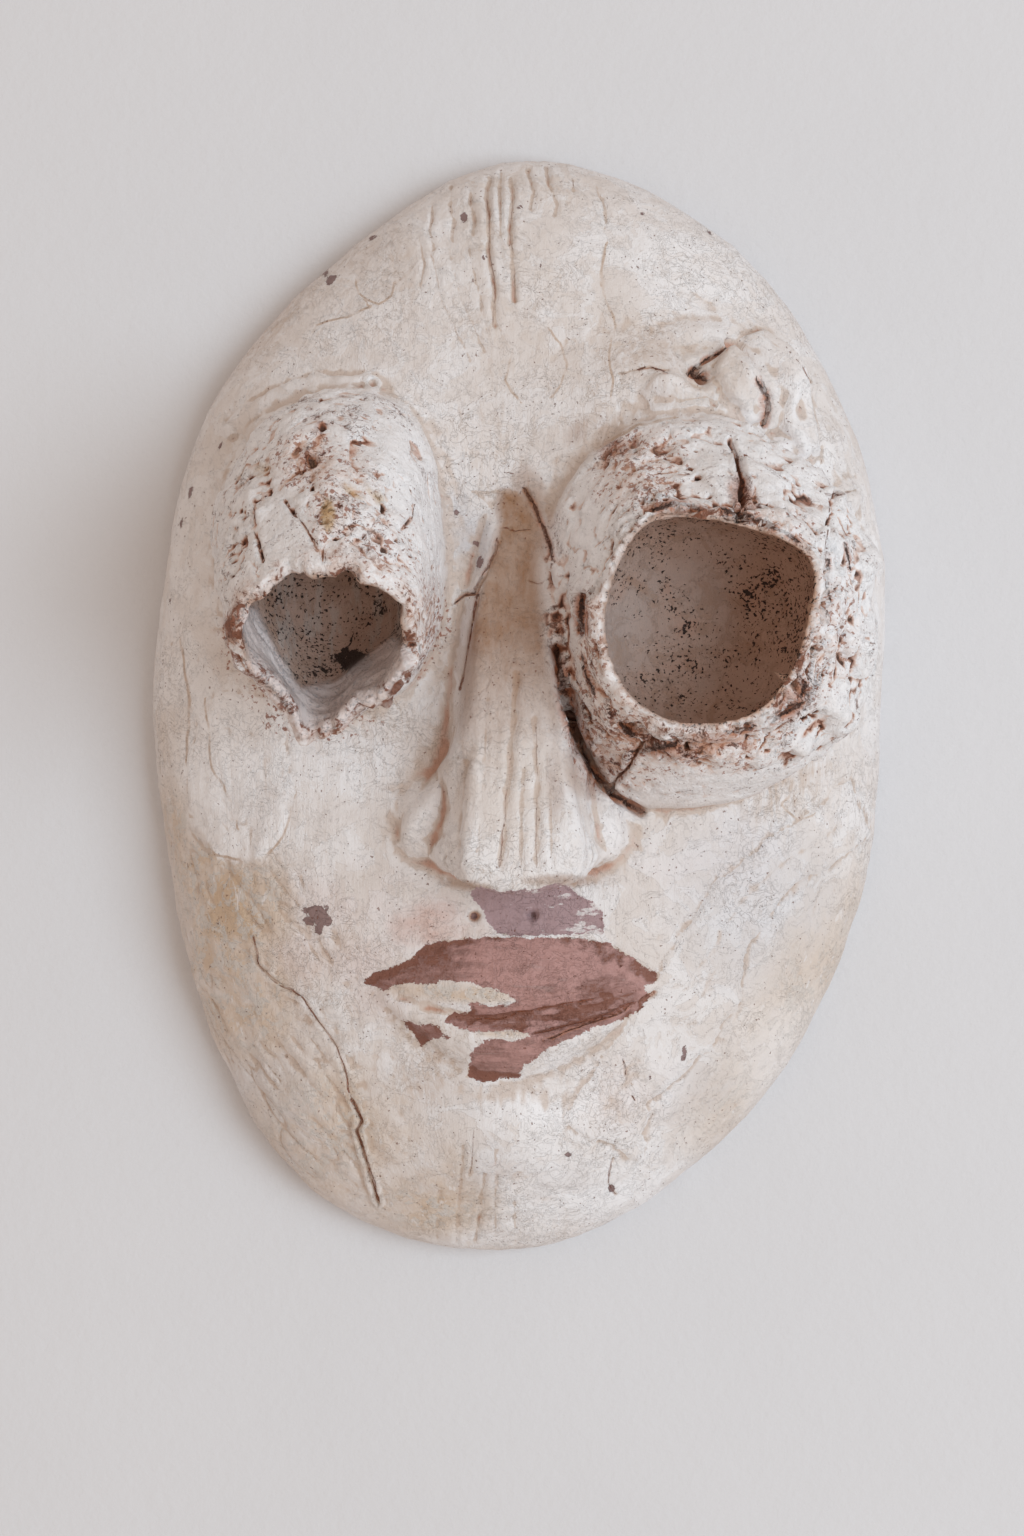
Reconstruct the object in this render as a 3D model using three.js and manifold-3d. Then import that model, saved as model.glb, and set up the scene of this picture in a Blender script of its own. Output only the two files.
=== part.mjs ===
// Plaster mask with two hollow tube eyes, lying on its flat back rim.
// Millimetres, +Z out of the face, +Y towards the forehead, +X to the viewer's right.
import * as THREE from 'three';
import { mergeVertices } from 'three/addons/utils/BufferGeometryUtils.js';
import Module from 'manifold-3d';

const wasm = await Module();
wasm.setup();

// Driving dimensions
const CROWN = 52; // highest point of the plain dome above the back plane
const RIM_HEIGHT = 6; // upright edge all round
const WALL = 9.5; // plaster thickness, and width of the flat back rim
const DOME_POWER = 2.4; // how flat the middle of the dome is
const DOME_FALL = 0.55; // how steeply it meets the rim

// Distance from the middle to the edge of the mask, every 22.5 degrees from +X round to +Y
const OUTLINE = [
  99.6, 108.1, 123.4, 140.9, 149.7, 131.8, 118.6, 104.7,
  100.7, 104.5, 121.4, 144.9, 149.4, 134.1, 116.5, 104.7,
];

// Right eye: a low crater, by its foot and its mouth, radii every 30 degrees
const CRATER_FOOT = [41.6, 43, 46.5, 52.0, 53.0, 48.6, 42.1, 44, 54, 50.5, 47, 46];
const CRATER_MOUTH = [24.2, 28.4, 24.8, 24.2, 27.4, 25.3, 24.8, 25.6, 26.1, 24.9, 25.0, 23.5];
const CRATER_FOOT_AT = [50.6, 23.6];
const CRATER_MOUTH_AT = [46.4, 19.5];
const CRATER_TOP = 90;
const CRATER_LIP = 2.6; // thickness of its thin upper edge
// [height, share of the mouth's outline, size]
const CRATER_OUTSIDE = [
  [30, 0, 0.86], [44, 0, 0.95], [53, 0.02, 1], [62, 0.2, 1], [72, 0.5, 1],
  [80, 0.74, 1], [86, 0.92, 1], [CRATER_TOP, 1, 1],
];
// [height, size of the mouth's outline]
const CRATER_INSIDE = [[44, 0.5], [47, 0.78], [56, 1.04], [70, 1.15], [82, 1.08], [CRATER_TOP + 1, 1]];

// Left eye: a snout that points out and down, by its foot and its mouth
const SNOUT_FOOT = [30.5, 32.5, 41, 41.3, 35.8, 32.3, 30.3, 32.4, 38, 43, 44, 35];
const SNOUT_MOUTH = [23.4, 25.8, 25.2, 24.2, 23.2, 25.0, 22.5, 20.0, 22.0, 25.4, 21.0, 22.5];
const SNOUT_LIP = 3.4;
// [x, y, height, tilt in degrees, share of the mouth's outline]
const SNOUT_OUTSIDE = [
  [-49.4, 42, 32, 0, 0], [-49.4, 41.5, 45, 2, 0.02], [-49.4, 38, 58, 8, 0.2], [-49.2, 31, 71, 15, 0.45],
  [-48.9, 22, 83, 23, 0.75], [-48.7, 12, 94, 30, 1],
];
// [x, y, height, tilt in degrees, size of the mouth's outline]
const SNOUT_INSIDE = [
  [-48.5, 31, 55, 12, 0.45], [-48.5, 29, 60, 14, 0.8], [-48.6, 22, 76, 22, 1.02],
  [-48.7, 12.5, 93, 30, 1], [-48.7, 9.5, 98, 30, 1],
];

// Nose: a fluted wedge by its stations down the face
// [y, left foot, left edge, right edge, right foot, rise above the dome]
const NOSE = [
  [57, -9, -5, 6, 9, -1], [45, -12, -7, 8, 10.5, 3], [28, -16, -10, 9.5, 11.5, 8], [10, -19, -11.5, 11.5, 13, 14],
  [-14, -20.5, -12.5, 12.6, 16, 21], [-32, -22, -14, 15, 21, 26], [-43, -23, -15, 16, 22, 28],
  [-48.8, -22.5, -14.5, 15, 22, 25],
];
const NOSE_SHOULDER = 0.4; // where the front starts to round over, as a share of the half-width
const NOSE_BOW = 6; // how far the underside rises towards its ends
const NOSE_UNDERCUT = 7; // how far the underside leans back under the tip
const FLUTE_DEPTH = 1.4;
const FLUTE_COUNT = 3.5;
// [x, y, height, half-width, half-length, half-depth]
const NOSTRIL_WINGS = [[-22.5, -29, 45, 12, 12, 15], [20.5, -31, 45, 10, 12, 15]];

// Broad swellings of the face: [x, y, half-width, half-length, height]
const SWELLINGS = [
  [-45, -45, 34, 30, 4], // left cheek
  [50, -50, 30, 28, 4], // right cheek
  [0, -76, 36, 26, 8], // muzzle
  [-8, -119, 22, 15, 7], // chin
  [-2, -103, 24, 7, -2.5], // fold above the chin
  [46, 78, 32, 15, 9], // brow over the crater
  [60, 88, 14, 9, 4],
  [33, 88, 13, 8, 3],
  [84, 28, 16, 34, 11], // lumps down the right side
];

// Creases pressed along the face: [x0, y0, x1, y1, half-width, depth]
const CREASES = [
  [-18, 139, -19, 126, 1.8, 1.6], [-12.4, 141, -12.6, 127, 1.8, 1.8], [-7, 142, -7.6, 100, 2.0, 2.4],
  [-1.4, 142, -1.5, 106, 1.8, 1.8], [3, 143, 4, 131, 1.6, 1.4], [8, 142, 9, 134, 1.6, 1.2],
  [20, 139, 22, 130, 1.6, 1.2], [-26, 136, -25, 120, 1.8, 1.0],
  [-12.6, -118, -15.8, -141, 1.8, -2.2], [-8.4, -114, -10.2, -143, 1.6, -1.8], [-1.6, -128, -2.6, -142, 1.6, -1.4],
];

// Lips: [middle of the edge, rise of the edge per square millimetre from the middle]
const MOUTH_MIDDLE = -2;
const MOUTH_HALF = 37;
const LIP_TOP = [-60, -0.0098];
const LIP_PARTING = [-82.5, 0.0067];
const LIP_BOTTOM = [-98, 0.018];
const UPPER_LIP = 3.6;
const LOWER_LIP = 4.4;

// Small pits above the upper lip: [x, y, radius]
const PITS = [[-11.5, -55.4, 1.4], [3.5, -55.4, 1.5]];
const PIT_DEPTH = 5;

const COLUMNS = [9, 22, 9]; // grid lines at the left, in the middle and at the right
const MIDDLE_COLUMNS = 0.36; // the closer lines' share of the half-width
const ROWS = [6, 27, 19]; // below the mouth, mouth and nose, above the nose
const ROW_BREAKS = [-0.68, 0.02];
const RING_SIDES = 36;
const HOLLOW_SIDES = 54;

const lerp = THREE.MathUtils.lerp;
const clamp = THREE.MathUtils.clamp;

// Smooth radius between the listed ones, as a closed Catmull-Rom curve over the angle
function radiusAt(radii, angle) {
  const count = radii.length;
  const place = THREE.MathUtils.euclideanModulo(angle / (2 * Math.PI), 1) * count;
  const i = Math.floor(place);
  const t = place - i;
  const [a, b, c, d] = [-1, 0, 1, 2].map((step) => radii[(i + step + count) % count]);
  return b + 0.5 * t * (c - a + t * (2 * a - 5 * b + 4 * c - d + t * (3 * (b - c) + d - a)));
}

// Value of a profile at a place between its stations, which are listed from high to low
function along(stations, key, place, value) {
  const last = stations.length - 1;
  const next = clamp(stations.filter((row) => row[key] > place).length, 1, last);
  const [from, to] = [stations[next - 1], stations[next]];
  const share = clamp((place - from[key]) / (to[key] - from[key]), 0, 1);
  return lerp(from[value], to[value], share);
}

// A three.js geometry whose points are moved by place, as a closed solid
function solid(geometry, place) {
  geometry.deleteAttribute('normal');
  geometry.deleteAttribute('uv');
  const merged = mergeVertices(geometry, 1e-4);
  const { position } = merged.attributes;
  const point = new THREE.Vector3();
  for (let i = 0; i < position.count; i += 1) {
    place(point.fromBufferAttribute(position, i));
    position.setXYZ(i, point.x, point.y, point.z);
  }
  const triVerts = Uint32Array.from(merged.index.array);
  return new wasm.Manifold(new wasm.Mesh({ numProp: 3, vertProperties: position.array, triVerts }));
}

// A solid through level or tilted rings: station(index) gives its centre, tilt and radius by angle
function tube(sides, count, station) {
  const geometry = new THREE.CylinderGeometry(1, 1, 1, sides, count - 1);
  geometry.rotateX(Math.PI / 2);
  return solid(geometry, (point) => {
    const { centre, tilt, radius } = station(Math.round((point.z + 0.5) * (count - 1)));
    const reach = Math.hypot(point.x, point.y);
    const angle = Math.atan2(point.y, point.x);
    const length = reach < 0.5 ? 0 : radius(angle);
    const lean = THREE.MathUtils.degToRad(tilt);
    const [x, y] = [length * Math.cos(angle), length * Math.sin(angle)];
    point.set(centre[0] + x, centre[1] + y * Math.cos(lean), centre[2] + y * Math.sin(lean));
  });
}

function distanceToLine(x, y, x0, y0, x1, y1) {
  const [dx, dy] = [x1 - x0, y1 - y0];
  const share = clamp(((x - x0) * dx + (y - y0) * dy) / (dx * dx + dy * dy), 0, 1);
  return Math.hypot(x - x0 - share * dx, y - y0 - share * dy);
}

function lipRise(x, y) {
  const off = x - MOUTH_MIDDLE;
  const [top, parting, bottom] = [LIP_TOP, LIP_PARTING, LIP_BOTTOM].map(([mid, bend]) => mid + bend * off * off);
  if (Math.abs(off) > MOUTH_HALF || y > top || y < bottom) return 0;
  const upper = y > parting;
  const share = upper ? (y - parting) / (top - parting) : (parting - y) / (parting - bottom);
  const taper = Math.sqrt(1 - (off / MOUTH_HALF) ** 2);
  return (upper ? UPPER_LIP : LOWER_LIP) * taper * Math.sin(Math.PI * clamp(share, 0, 1) ** 0.8) ** 0.7;
}

function plainDome(share) {
  return (1 - Math.min(share, 1) ** DOME_POWER) ** DOME_FALL;
}

// Height of the modelled face over the back plane, without the nose and the eyes
function faceHeight(x, y) {
  const share = Math.hypot(x, y) / radiusAt(OUTLINE, Math.atan2(y, x));
  const fade = 1 - Math.min(share, 1) ** 8;
  let relief = lipRise(x, y);
  for (const [cx, cy, rx, ry, height] of SWELLINGS) {
    relief += height * Math.exp(-(((x - cx) / rx) ** 2) - ((y - cy) / ry) ** 2);
  }
  for (const [x0, y0, x1, y1, width, depth] of CREASES) {
    relief -= depth * Math.exp(-((distanceToLine(x, y, x0, y0, x1, y1) / width) ** 2));
  }
  return RIM_HEIGHT + (CROWN - RIM_HEIGHT) * plainDome(share) + relief * fade;
}

// Uneven spacing: a grid line's number to its place from -1 to 1
function gridLine(place, counts, breaks) {
  const total = counts.reduce((sum, count) => sum + count, 0);
  const number = ((place + 1) / 2) * total;
  const ends = [-1, ...breaks, 1];
  let first = 0;
  for (let i = 0; i < counts.length; i += 1) {
    if (number <= first + counts[i] + 1e-6) return lerp(ends[i], ends[i + 1], (number - first) / counts[i]);
    first += counts[i];
  }
  return 1;
}

// The face: a box whose top is drawn over the oval and lifted to the face's height
function faceBody() {
  const columns = COLUMNS.reduce((sum, count) => sum + count, 0);
  const rows = ROWS.reduce((sum, count) => sum + count, 0);
  const halfWidth = OUTLINE[0];
  const halfLength = OUTLINE[4];
  return solid(new THREE.BoxGeometry(2, 2, 2, columns, rows, 1), (point) => {
    const u = gridLine(point.x, COLUMNS, [-MIDDLE_COLUMNS, MIDDLE_COLUMNS]);
    const v = gridLine(point.y, ROWS, ROW_BREAKS);
    const x = halfWidth * u * Math.sqrt(1 - (v * v) / 2);
    const y = halfLength * v * Math.sqrt(1 - (u * u) / 2);
    const share = Math.hypot(x / halfWidth, y / halfLength);
    const ovalRadius = share > 0 ? Math.hypot(x, y) / share : 1;
    const stretch = radiusAt(OUTLINE, Math.atan2(y, x)) / ovalRadius;
    const grow = 1 + (stretch - 1) * share * share;
    const spread = 1.3 - 0.3 * share * share;
    const onTop = point.z > 0;
    point.set(x * grow * spread, y * grow * spread, 0);
    if (onTop) point.z = faceHeight(point.x, point.y);
  });
}

// The hollow back: a plain inner dome that leaves the wall and the flat rim
function hollow() {
  const heights = [-4, 0, 0.2, 0.38, 0.55, 0.7, 0.82, 0.91, 0.97, 1];
  return tube(HOLLOW_SIDES, heights.length, (index) => {
    const height = heights[index];
    const share = height <= 0 ? 1 : (1 - height ** (1 / DOME_FALL)) ** (1 / DOME_POWER);
    const z = height <= 0 ? height : height * (CROWN - WALL);
    const radius = (angle) => Math.max(share, 0.02) * (radiusAt(OUTLINE, angle) - WALL);
    return { centre: [0, 0, z], tilt: 0, radius };
  });
}

function nose() {
  const across = [3, 8, 3]; // left flank, fluted front, right flank
  const down = 16;
  const flank = 0.5;
  const [head, tip] = [NOSE[0][0], NOSE.at(-1)[0]];
  return solid(new THREE.BoxGeometry(2, 2, 2, across[0] + across[1] + across[2], down, 1), (point) => {
    const u = gridLine(point.x, across, [-flank, flank]);
    const station = lerp(head, tip, (1 - point.y) / 2);
    const [leftFoot, left, right, rightFoot, rise] = [1, 2, 3, 4, 5].map((key) => along(NOSE, 0, station, key));
    const side = clamp((Math.abs(u) - flank) / (1 - flank), 0, 1);
    const edge = u < 0 ? lerp(left, leftFoot, side) : lerp(right, rightFoot, side);
    const x = side > 0 ? edge : lerp(left, right, (u + flank) / (2 * flank));
    const bow = NOSE_BOW * (x / 20) ** 2 * clamp((10 - station) / (10 - tip), 0, 1) ** 2;
    const onTop = point.z > 0;
    const y = station + bow;
    const flute = -FLUTE_DEPTH * Math.sin((u / flank) * Math.PI * FLUTE_COUNT * 0.5) ** 2;
    const slope = THREE.MathUtils.smoothstep(Math.abs(u), NOSE_SHOULDER, 1);
    const crest = rise * (1 - slope) - 1.5 * side + (side > 0 ? 0 : flute * clamp(-station / 30, 0, 1));
    const tuck = (1 - clamp((station - tip) / 40, 0, 1)) * NOSE_UNDERCUT;
    point.set(x, onTop ? y : y + tuck, onTop ? faceHeight(x, Math.min(y, head)) + crest : 30);
  });
}

function wing([x, y, z, rx, ry, rz]) {
  return solid(new THREE.SphereGeometry(1, 16, 12), (point) => {
    point.set(x + point.x * rx, y + point.y * ry, z + point.z * rz);
  });
}

function craterOutside() {
  return tube(RING_SIDES, CRATER_OUTSIDE.length, (index) => {
    const [z, share, size] = CRATER_OUTSIDE[index];
    const centre = [0, 1].map((axis) => lerp(CRATER_FOOT_AT[axis], CRATER_MOUTH_AT[axis], share));
    const radius = (angle) => {
      const mouth = radiusAt(CRATER_MOUTH, angle) + CRATER_LIP;
      return lerp(radiusAt(CRATER_FOOT, angle), mouth, share) * size;
    };
    return { centre: [...centre, z], tilt: 0, radius };
  });
}

function craterInside() {
  return tube(RING_SIDES, CRATER_INSIDE.length, (index) => {
    const [z, size] = CRATER_INSIDE[index];
    return { centre: [...CRATER_MOUTH_AT, z], tilt: 0, radius: (angle) => radiusAt(CRATER_MOUTH, angle) * size };
  });
}

function snoutOutside() {
  return tube(RING_SIDES, SNOUT_OUTSIDE.length, (index) => {
    const [x, y, z, tilt, share] = SNOUT_OUTSIDE[index];
    const radius = (angle) => lerp(radiusAt(SNOUT_FOOT, angle), radiusAt(SNOUT_MOUTH, angle), share);
    return { centre: [x, y, z], tilt, radius };
  });
}

function snoutInside() {
  return tube(RING_SIDES, SNOUT_INSIDE.length, (index) => {
    const [x, y, z, tilt, size] = SNOUT_INSIDE[index];
    return { centre: [x, y, z], tilt, radius: (angle) => (radiusAt(SNOUT_MOUTH, angle) - SNOUT_LIP) * size };
  });
}

function pit([x, y, radius]) {
  const geometry = new THREE.CylinderGeometry(1, 1, 1, 10, 1);
  geometry.rotateX(Math.PI / 2);
  const top = faceHeight(x, y) + 3;
  const bottom = faceHeight(x, y) - PIT_DEPTH;
  return solid(geometry, (point) => {
    point.set(x + point.x * radius, y + point.y * radius, point.z > 0 ? top : bottom);
  });
}

const added = [nose(), ...NOSTRIL_WINGS.map(wing), craterOutside(), snoutOutside()];
const removed = [hollow(), craterInside(), snoutInside(), ...PITS.map(pit)];
const built = added.reduce((whole, piece) => whole.add(piece), faceBody());
const carved = removed.reduce((whole, piece) => whole.subtract(piece), built);

const { vertProperties, triVerts } = carved.getMesh();
const geometry = new THREE.BufferGeometry();
geometry.setAttribute('position', new THREE.BufferAttribute(vertProperties, 3));
geometry.setIndex(new THREE.BufferAttribute(triVerts, 1));

const plaster = new THREE.MeshStandardMaterial({ color: 0xd2c8c2, roughness: 0.6, metalness: 0 });
const mask = new THREE.Mesh(geometry, plaster);
mask.name = 'mask';

const object = new THREE.Group();
object.add(mask);
export default object;
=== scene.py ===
# %% [markdown]
# # A plaster mask with two hollow tube eyes
# The mask is one piece of cast and modelled plaster: an oval shell, a fluted nose, full lips, a snout-like
# left eye and a crater-like right eye. It lies on its flat back rim, and the camera looks straight down on
# it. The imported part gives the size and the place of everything. This notebook models the same forms again,
# closely enough for cracks, flakes and paint, and lets that piece stand for the plain solid.

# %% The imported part
import math
from itertools import product

import bmesh
import bpy
import numpy as np
from mathutils import Matrix, Vector


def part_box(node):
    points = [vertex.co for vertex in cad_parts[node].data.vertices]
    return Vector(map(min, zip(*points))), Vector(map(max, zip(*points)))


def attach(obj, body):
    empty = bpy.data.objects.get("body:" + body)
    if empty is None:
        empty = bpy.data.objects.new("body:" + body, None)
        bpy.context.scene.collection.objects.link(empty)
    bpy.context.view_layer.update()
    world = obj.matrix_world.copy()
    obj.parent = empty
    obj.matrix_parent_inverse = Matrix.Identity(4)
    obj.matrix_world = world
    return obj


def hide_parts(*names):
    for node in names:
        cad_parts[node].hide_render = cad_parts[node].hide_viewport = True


MM = 0.001
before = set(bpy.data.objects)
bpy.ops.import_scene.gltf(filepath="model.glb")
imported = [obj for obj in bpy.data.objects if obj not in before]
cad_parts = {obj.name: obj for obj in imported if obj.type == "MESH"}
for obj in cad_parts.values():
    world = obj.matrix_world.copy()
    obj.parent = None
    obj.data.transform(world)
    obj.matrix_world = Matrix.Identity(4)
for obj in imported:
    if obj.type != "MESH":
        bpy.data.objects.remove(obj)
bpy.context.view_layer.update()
low, high = (np.array(corner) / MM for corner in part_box("mask"))
print("mask from", low.round(1), "to", high.round(1), "mm")

# %% [markdown]
# The camera comes first, because the carving and the paint are placed by where they show in the picture. It
# hangs 0.8 m over the floor with a long lens, so the eye tubes, which stand 100 mm proud, look a little
# larger.

# %% Camera
CAMERA_AT = np.array([-1.94, -17.0, 800.0])
LENS = 67.5
FRAME_PIXELS = (1024, 1536)
SENSOR = 36.0
pixels_per_slope = LENS / SENSOR * FRAME_PIXELS[1]

camera_data = bpy.data.cameras.new("camera")
camera_data.lens = LENS
camera_data.sensor_fit = "VERTICAL"
camera_data.sensor_height = SENSOR
camera_data.clip_start = 0.01
camera = bpy.data.objects.new("camera", camera_data)
camera.location = Vector(CAMERA_AT) * MM
bpy.context.scene.collection.objects.link(camera)
bpy.context.scene.camera = camera


def seen(points):
    """Where points in millimetres show in the picture, in pixels from its top left corner."""
    away = CAMERA_AT[2] - points[:, 2]
    right = FRAME_PIXELS[0] / 2 + (points[:, 0] - CAMERA_AT[0]) / away * pixels_per_slope
    down = FRAME_PIXELS[1] / 2 - (points[:, 1] - CAMERA_AT[1]) / away * pixels_per_slope
    return np.stack([right, down], axis=1)


print("one pixel is", round(CAMERA_AT[2] / pixels_per_slope, 3), "mm on the floor")

# %% [markdown]
# The big forms repeat the part's own named sizes, in millimetres. The oval's edge is a smooth closed curve
# through a few radii, and so are the foot and the mouth of each eye tube.

# %% Sizes of the big forms
CROWN = 52.0
RIM_HEIGHT = 6.0
WALL = 9.5
DOME_POWER = 2.4
DOME_FALL = 0.55
OUTLINE = [99.6, 108.1, 123.4, 140.9, 149.7, 131.8, 118.6, 104.7, 100.7, 104.5, 121.4, 144.9, 149.4,
           134.1, 116.5, 104.7]
CRATER_FOOT = [41.6, 43, 46.5, 52.0, 53.0, 48.6, 42.1, 44, 54, 50.5, 47, 46]
CRATER_MOUTH = [24.2, 28.4, 24.8, 24.2, 27.4, 25.3, 24.8, 25.6, 26.1, 24.9, 25.0, 23.5]
CRATER_FOOT_AT = np.array([50.6, 23.6])
CRATER_MOUTH_AT = np.array([46.4, 19.5])
CRATER_TOP = 90.0
CRATER_LIP = 2.6
SNOUT_FOOT = [30.5, 32.5, 41, 41.3, 35.8, 32.3, 30.3, 32.4, 38, 43, 44, 35]
SNOUT_MOUTH = [23.4, 25.8, 25.2, 24.2, 23.2, 25.0, 22.5, 20.0, 22.0, 25.4, 21.0, 22.5]
SNOUT_LIP = 3.4
# Each row: height, share of the mouth's outline, size
CRATER_OUTSIDE = [(30, 0, 0.86), (44, 0, 0.95), (53, 0.02, 1), (62, 0.2, 1), (72, 0.5, 1),
                  (80, 0.74, 1), (86, 0.92, 1), (CRATER_TOP, 1, 1)]
# Each row: height, size of the mouth's outline
CRATER_INSIDE = [(44, 0.5), (47, 0.78), (56, 1.04), (70, 1.15), (82, 1.08), (CRATER_TOP + 1, 1)]
# Each row: x, y, height, tilt in degrees, share of the mouth's outline
SNOUT_OUTSIDE = [(-49.4, 42, 32, 0, 0), (-49.4, 41.5, 45, 2, 0.02), (-49.4, 38, 58, 8, 0.2),
                 (-49.2, 31, 71, 15, 0.45), (-48.9, 22, 83, 23, 0.75), (-48.7, 12, 94, 30, 1)]
# Each row: x, y, height, tilt in degrees, size of the mouth's outline
SNOUT_INSIDE = [(-48.5, 31, 55, 12, 0.45), (-48.5, 29, 60, 14, 0.8), (-48.6, 22, 76, 22, 1.02),
                (-48.7, 12.5, 93, 30, 1), (-48.7, 9.5, 98, 30, 1)]
# Each row: y, left foot, left edge, right edge, right foot, rise above the dome
NOSE = [(57, -9, -5, 6, 9, -1), (45, -12, -7, 8, 10.5, 3), (28, -16, -10, 9.5, 11.5, 8),
        (10, -19, -11.5, 11.5, 13, 14), (-14, -20.5, -12.5, 12.6, 16, 21), (-32, -22, -14, 15, 21, 26),
        (-43, -23, -15, 16, 22, 28), (-48.8, -22.5, -14.5, 15, 22, 25)]
NOSE_SHOULDER = 0.4
NOSE_BOW = 6.0
NOSE_UNDERCUT = 7.0
# Each row: middle, half sizes
NOSTRIL_WINGS = [(-22.5, -29, 45, 12, 12, 15), (20.5, -31, 45, 10, 12, 15)]
# Each row: x, y, half-width, half-length, height
SWELLINGS = [(-45, -45, 34, 30, 4), (50, -50, 30, 28, 4), (0, -76, 36, 26, 8), (-8, -119, 22, 15, 7),
             (-2, -103, 24, 7, -2.5), (46, 78, 32, 15, 9), (60, 88, 14, 9, 4), (33, 88, 13, 8, 3),
             (84, 28, 16, 34, 11)]
MOUTH_MIDDLE = -2.0
MOUTH_HALF = 37.0
# Each edge of the lips: its middle, and its bend with the square of the distance from the mouth's middle
LIP_TOP = (-60, -0.0098)
LIP_PARTING = (-82.5, 0.0067)
LIP_BOTTOM = (-98, 0.018)
UPPER_LIP = 3.6
LOWER_LIP = 4.4
print("the nose has", len(NOSE), "cross-sections, and the face", len(SWELLINGS), "swellings")

# %% [markdown]
# Few numbers describe each form, so something has to fill in between them smoothly. A Catmull-Rom curve
# passes through every number of a list, and it can be closed for an outline or open for a profile. The face
# itself is one formula: a dome that falls off to the oval's edge, with the swellings and the lips on it.

# %% Smooth curves and the face
def radius_at(radii, angle):
    """Smooth radius between the listed ones, as a closed Catmull-Rom curve over the angle."""
    radii = np.asarray(radii, float)
    place = (angle / math.tau) % 1 * len(radii)
    number = np.floor(place).astype(int)
    t = place - number
    a, b, c, d = (radii[(number + step) % len(radii)] for step in (-1, 0, 1, 2))
    return b + 0.5 * t * (c - a + t * (2 * a - 5 * b + 4 * c - d + t * (3 * (b - c) + d - a)))


def between(rows, place):
    """Smooth values between the rows of a profile, at places from 0 to the last row's number."""
    rows = np.asarray(rows, float)
    last = len(rows) - 1
    number = np.clip(np.floor(place).astype(int), 0, last - 1)
    t = (place - number)[:, None]
    a, b, c, d = (rows[np.clip(number + step, 0, last)] for step in (-1, 0, 1, 2))
    return b + 0.5 * t * (c - a + t * (2 * a - 5 * b + 4 * c - d + t * (3 * (b - c) + d - a)))


def hump(x, y, row):
    """A round swelling of the face, by its middle, its half sizes and its height."""
    middle_x, middle_y, half_x, half_y, height = row
    return height * np.exp(-(((x - middle_x) / half_x) ** 2) - ((y - middle_y) / half_y) ** 2)


def lip_rise(x, y):
    """How far the lips stand out of the face."""
    off = x - MOUTH_MIDDLE
    top, parting, bottom = (middle + bend * off**2 for middle, bend in (LIP_TOP, LIP_PARTING, LIP_BOTTOM))
    upper = y > parting
    share = np.where(upper, (y - parting) / (top - parting), (parting - y) / (parting - bottom))
    share = np.where(np.abs(off) < MOUTH_HALF, share, 1)
    taper = np.sqrt(np.clip(1 - (off / MOUTH_HALF) ** 2, 0, 1))
    arch = np.sin(np.pi * np.clip(share, 0, 1) ** 0.8).clip(0) ** 0.7
    return np.where(upper, UPPER_LIP, LOWER_LIP) * taper * arch


def face_height(x, y):
    """Height of the modelled face over the floor, without the nose and the eyes."""
    share = np.hypot(x, y) / radius_at(OUTLINE, np.arctan2(y, x))
    share = np.clip(share, 0, 1)
    relief = lip_rise(x, y) + sum(hump(x, y, row) for row in SWELLINGS)
    dome = (1 - share**DOME_POWER) ** DOME_FALL
    return RIM_HEIGHT + (CROWN - RIM_HEIGHT) * dome + relief * (1 - share**8)


print("height in the middle of the brow:", face_height(np.array([0.0]), np.array([90.0])).round(1), "mm")

# %% [markdown]
# Two ways of shaping a sheet make every form here. A slab is a grid whose top is drawn over a form, and
# whose edge is then extruded straight down and filled, like clay pressed over a mould. A tube is a grid
# rolled up: its two sides are merged into a seam, and its two ends are filled. Both come out as closed
# solids.

# %% Helpers for slabs and tubes
def grid_piece(name, columns, rows, place, finish):
    """A bmesh grid moved by place(u, v), with u and v from -1 to 1, and then closed by finish."""
    bm = bmesh.new()
    bmesh.ops.create_grid(bm, x_segments=columns, y_segments=rows, size=1)
    flat = np.array([vert.co[:2] for vert in bm.verts])
    for vert, spot in zip(bm.verts, place(flat[:, 0], flat[:, 1])):
        vert.co = spot
    finish(bm)
    bmesh.ops.recalc_face_normals(bm, faces=bm.faces)
    mesh = bpy.data.meshes.new(name)
    bm.to_mesh(mesh)
    bm.free()
    piece = bpy.data.objects.new(name, mesh)
    bpy.context.scene.collection.objects.link(piece)
    return piece


def slab(name, columns, rows, place, floor, shift=0.0):
    """A form with a flat bottom at the floor's height, which may lean by shift along Y."""
    def finish(bm):
        border = [edge for edge in bm.edges if edge.is_boundary]
        sides = bmesh.ops.extrude_edge_only(bm, edges=border)["geom"]
        for vert in (item for item in sides if isinstance(item, bmesh.types.BMVert)):
            vert.co.z = floor
            vert.co.y += shift
        bmesh.ops.holes_fill(bm, edges=[edge for edge in bm.edges if edge.is_boundary], sides=0)
    return grid_piece(name, columns, rows, place, finish)


def tube(name, sides, rings, ring):
    """A form rolled up from rings: ring(share) gives centres, tilts and a radius for every angle."""
    def place(u, v):
        angle = np.pi * u
        centre, tilt, radius = ring((v + 1) / 2, angle)
        lean = np.radians(tilt)
        x, y = radius * np.cos(angle), radius * np.sin(angle)
        return np.stack([centre[0] + x, centre[1] + y * np.cos(lean), centre[2] + y * np.sin(lean)], axis=1)

    def finish(bm):
        bmesh.ops.remove_doubles(bm, verts=bm.verts, dist=0.001)
        bmesh.ops.holes_fill(bm, edges=[edge for edge in bm.edges if edge.is_boundary], sides=0)
    return grid_piece(name, sides, rings, place, finish)


print("two ways to shape a sheet:", slab.__name__, "and", tube.__name__)

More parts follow.
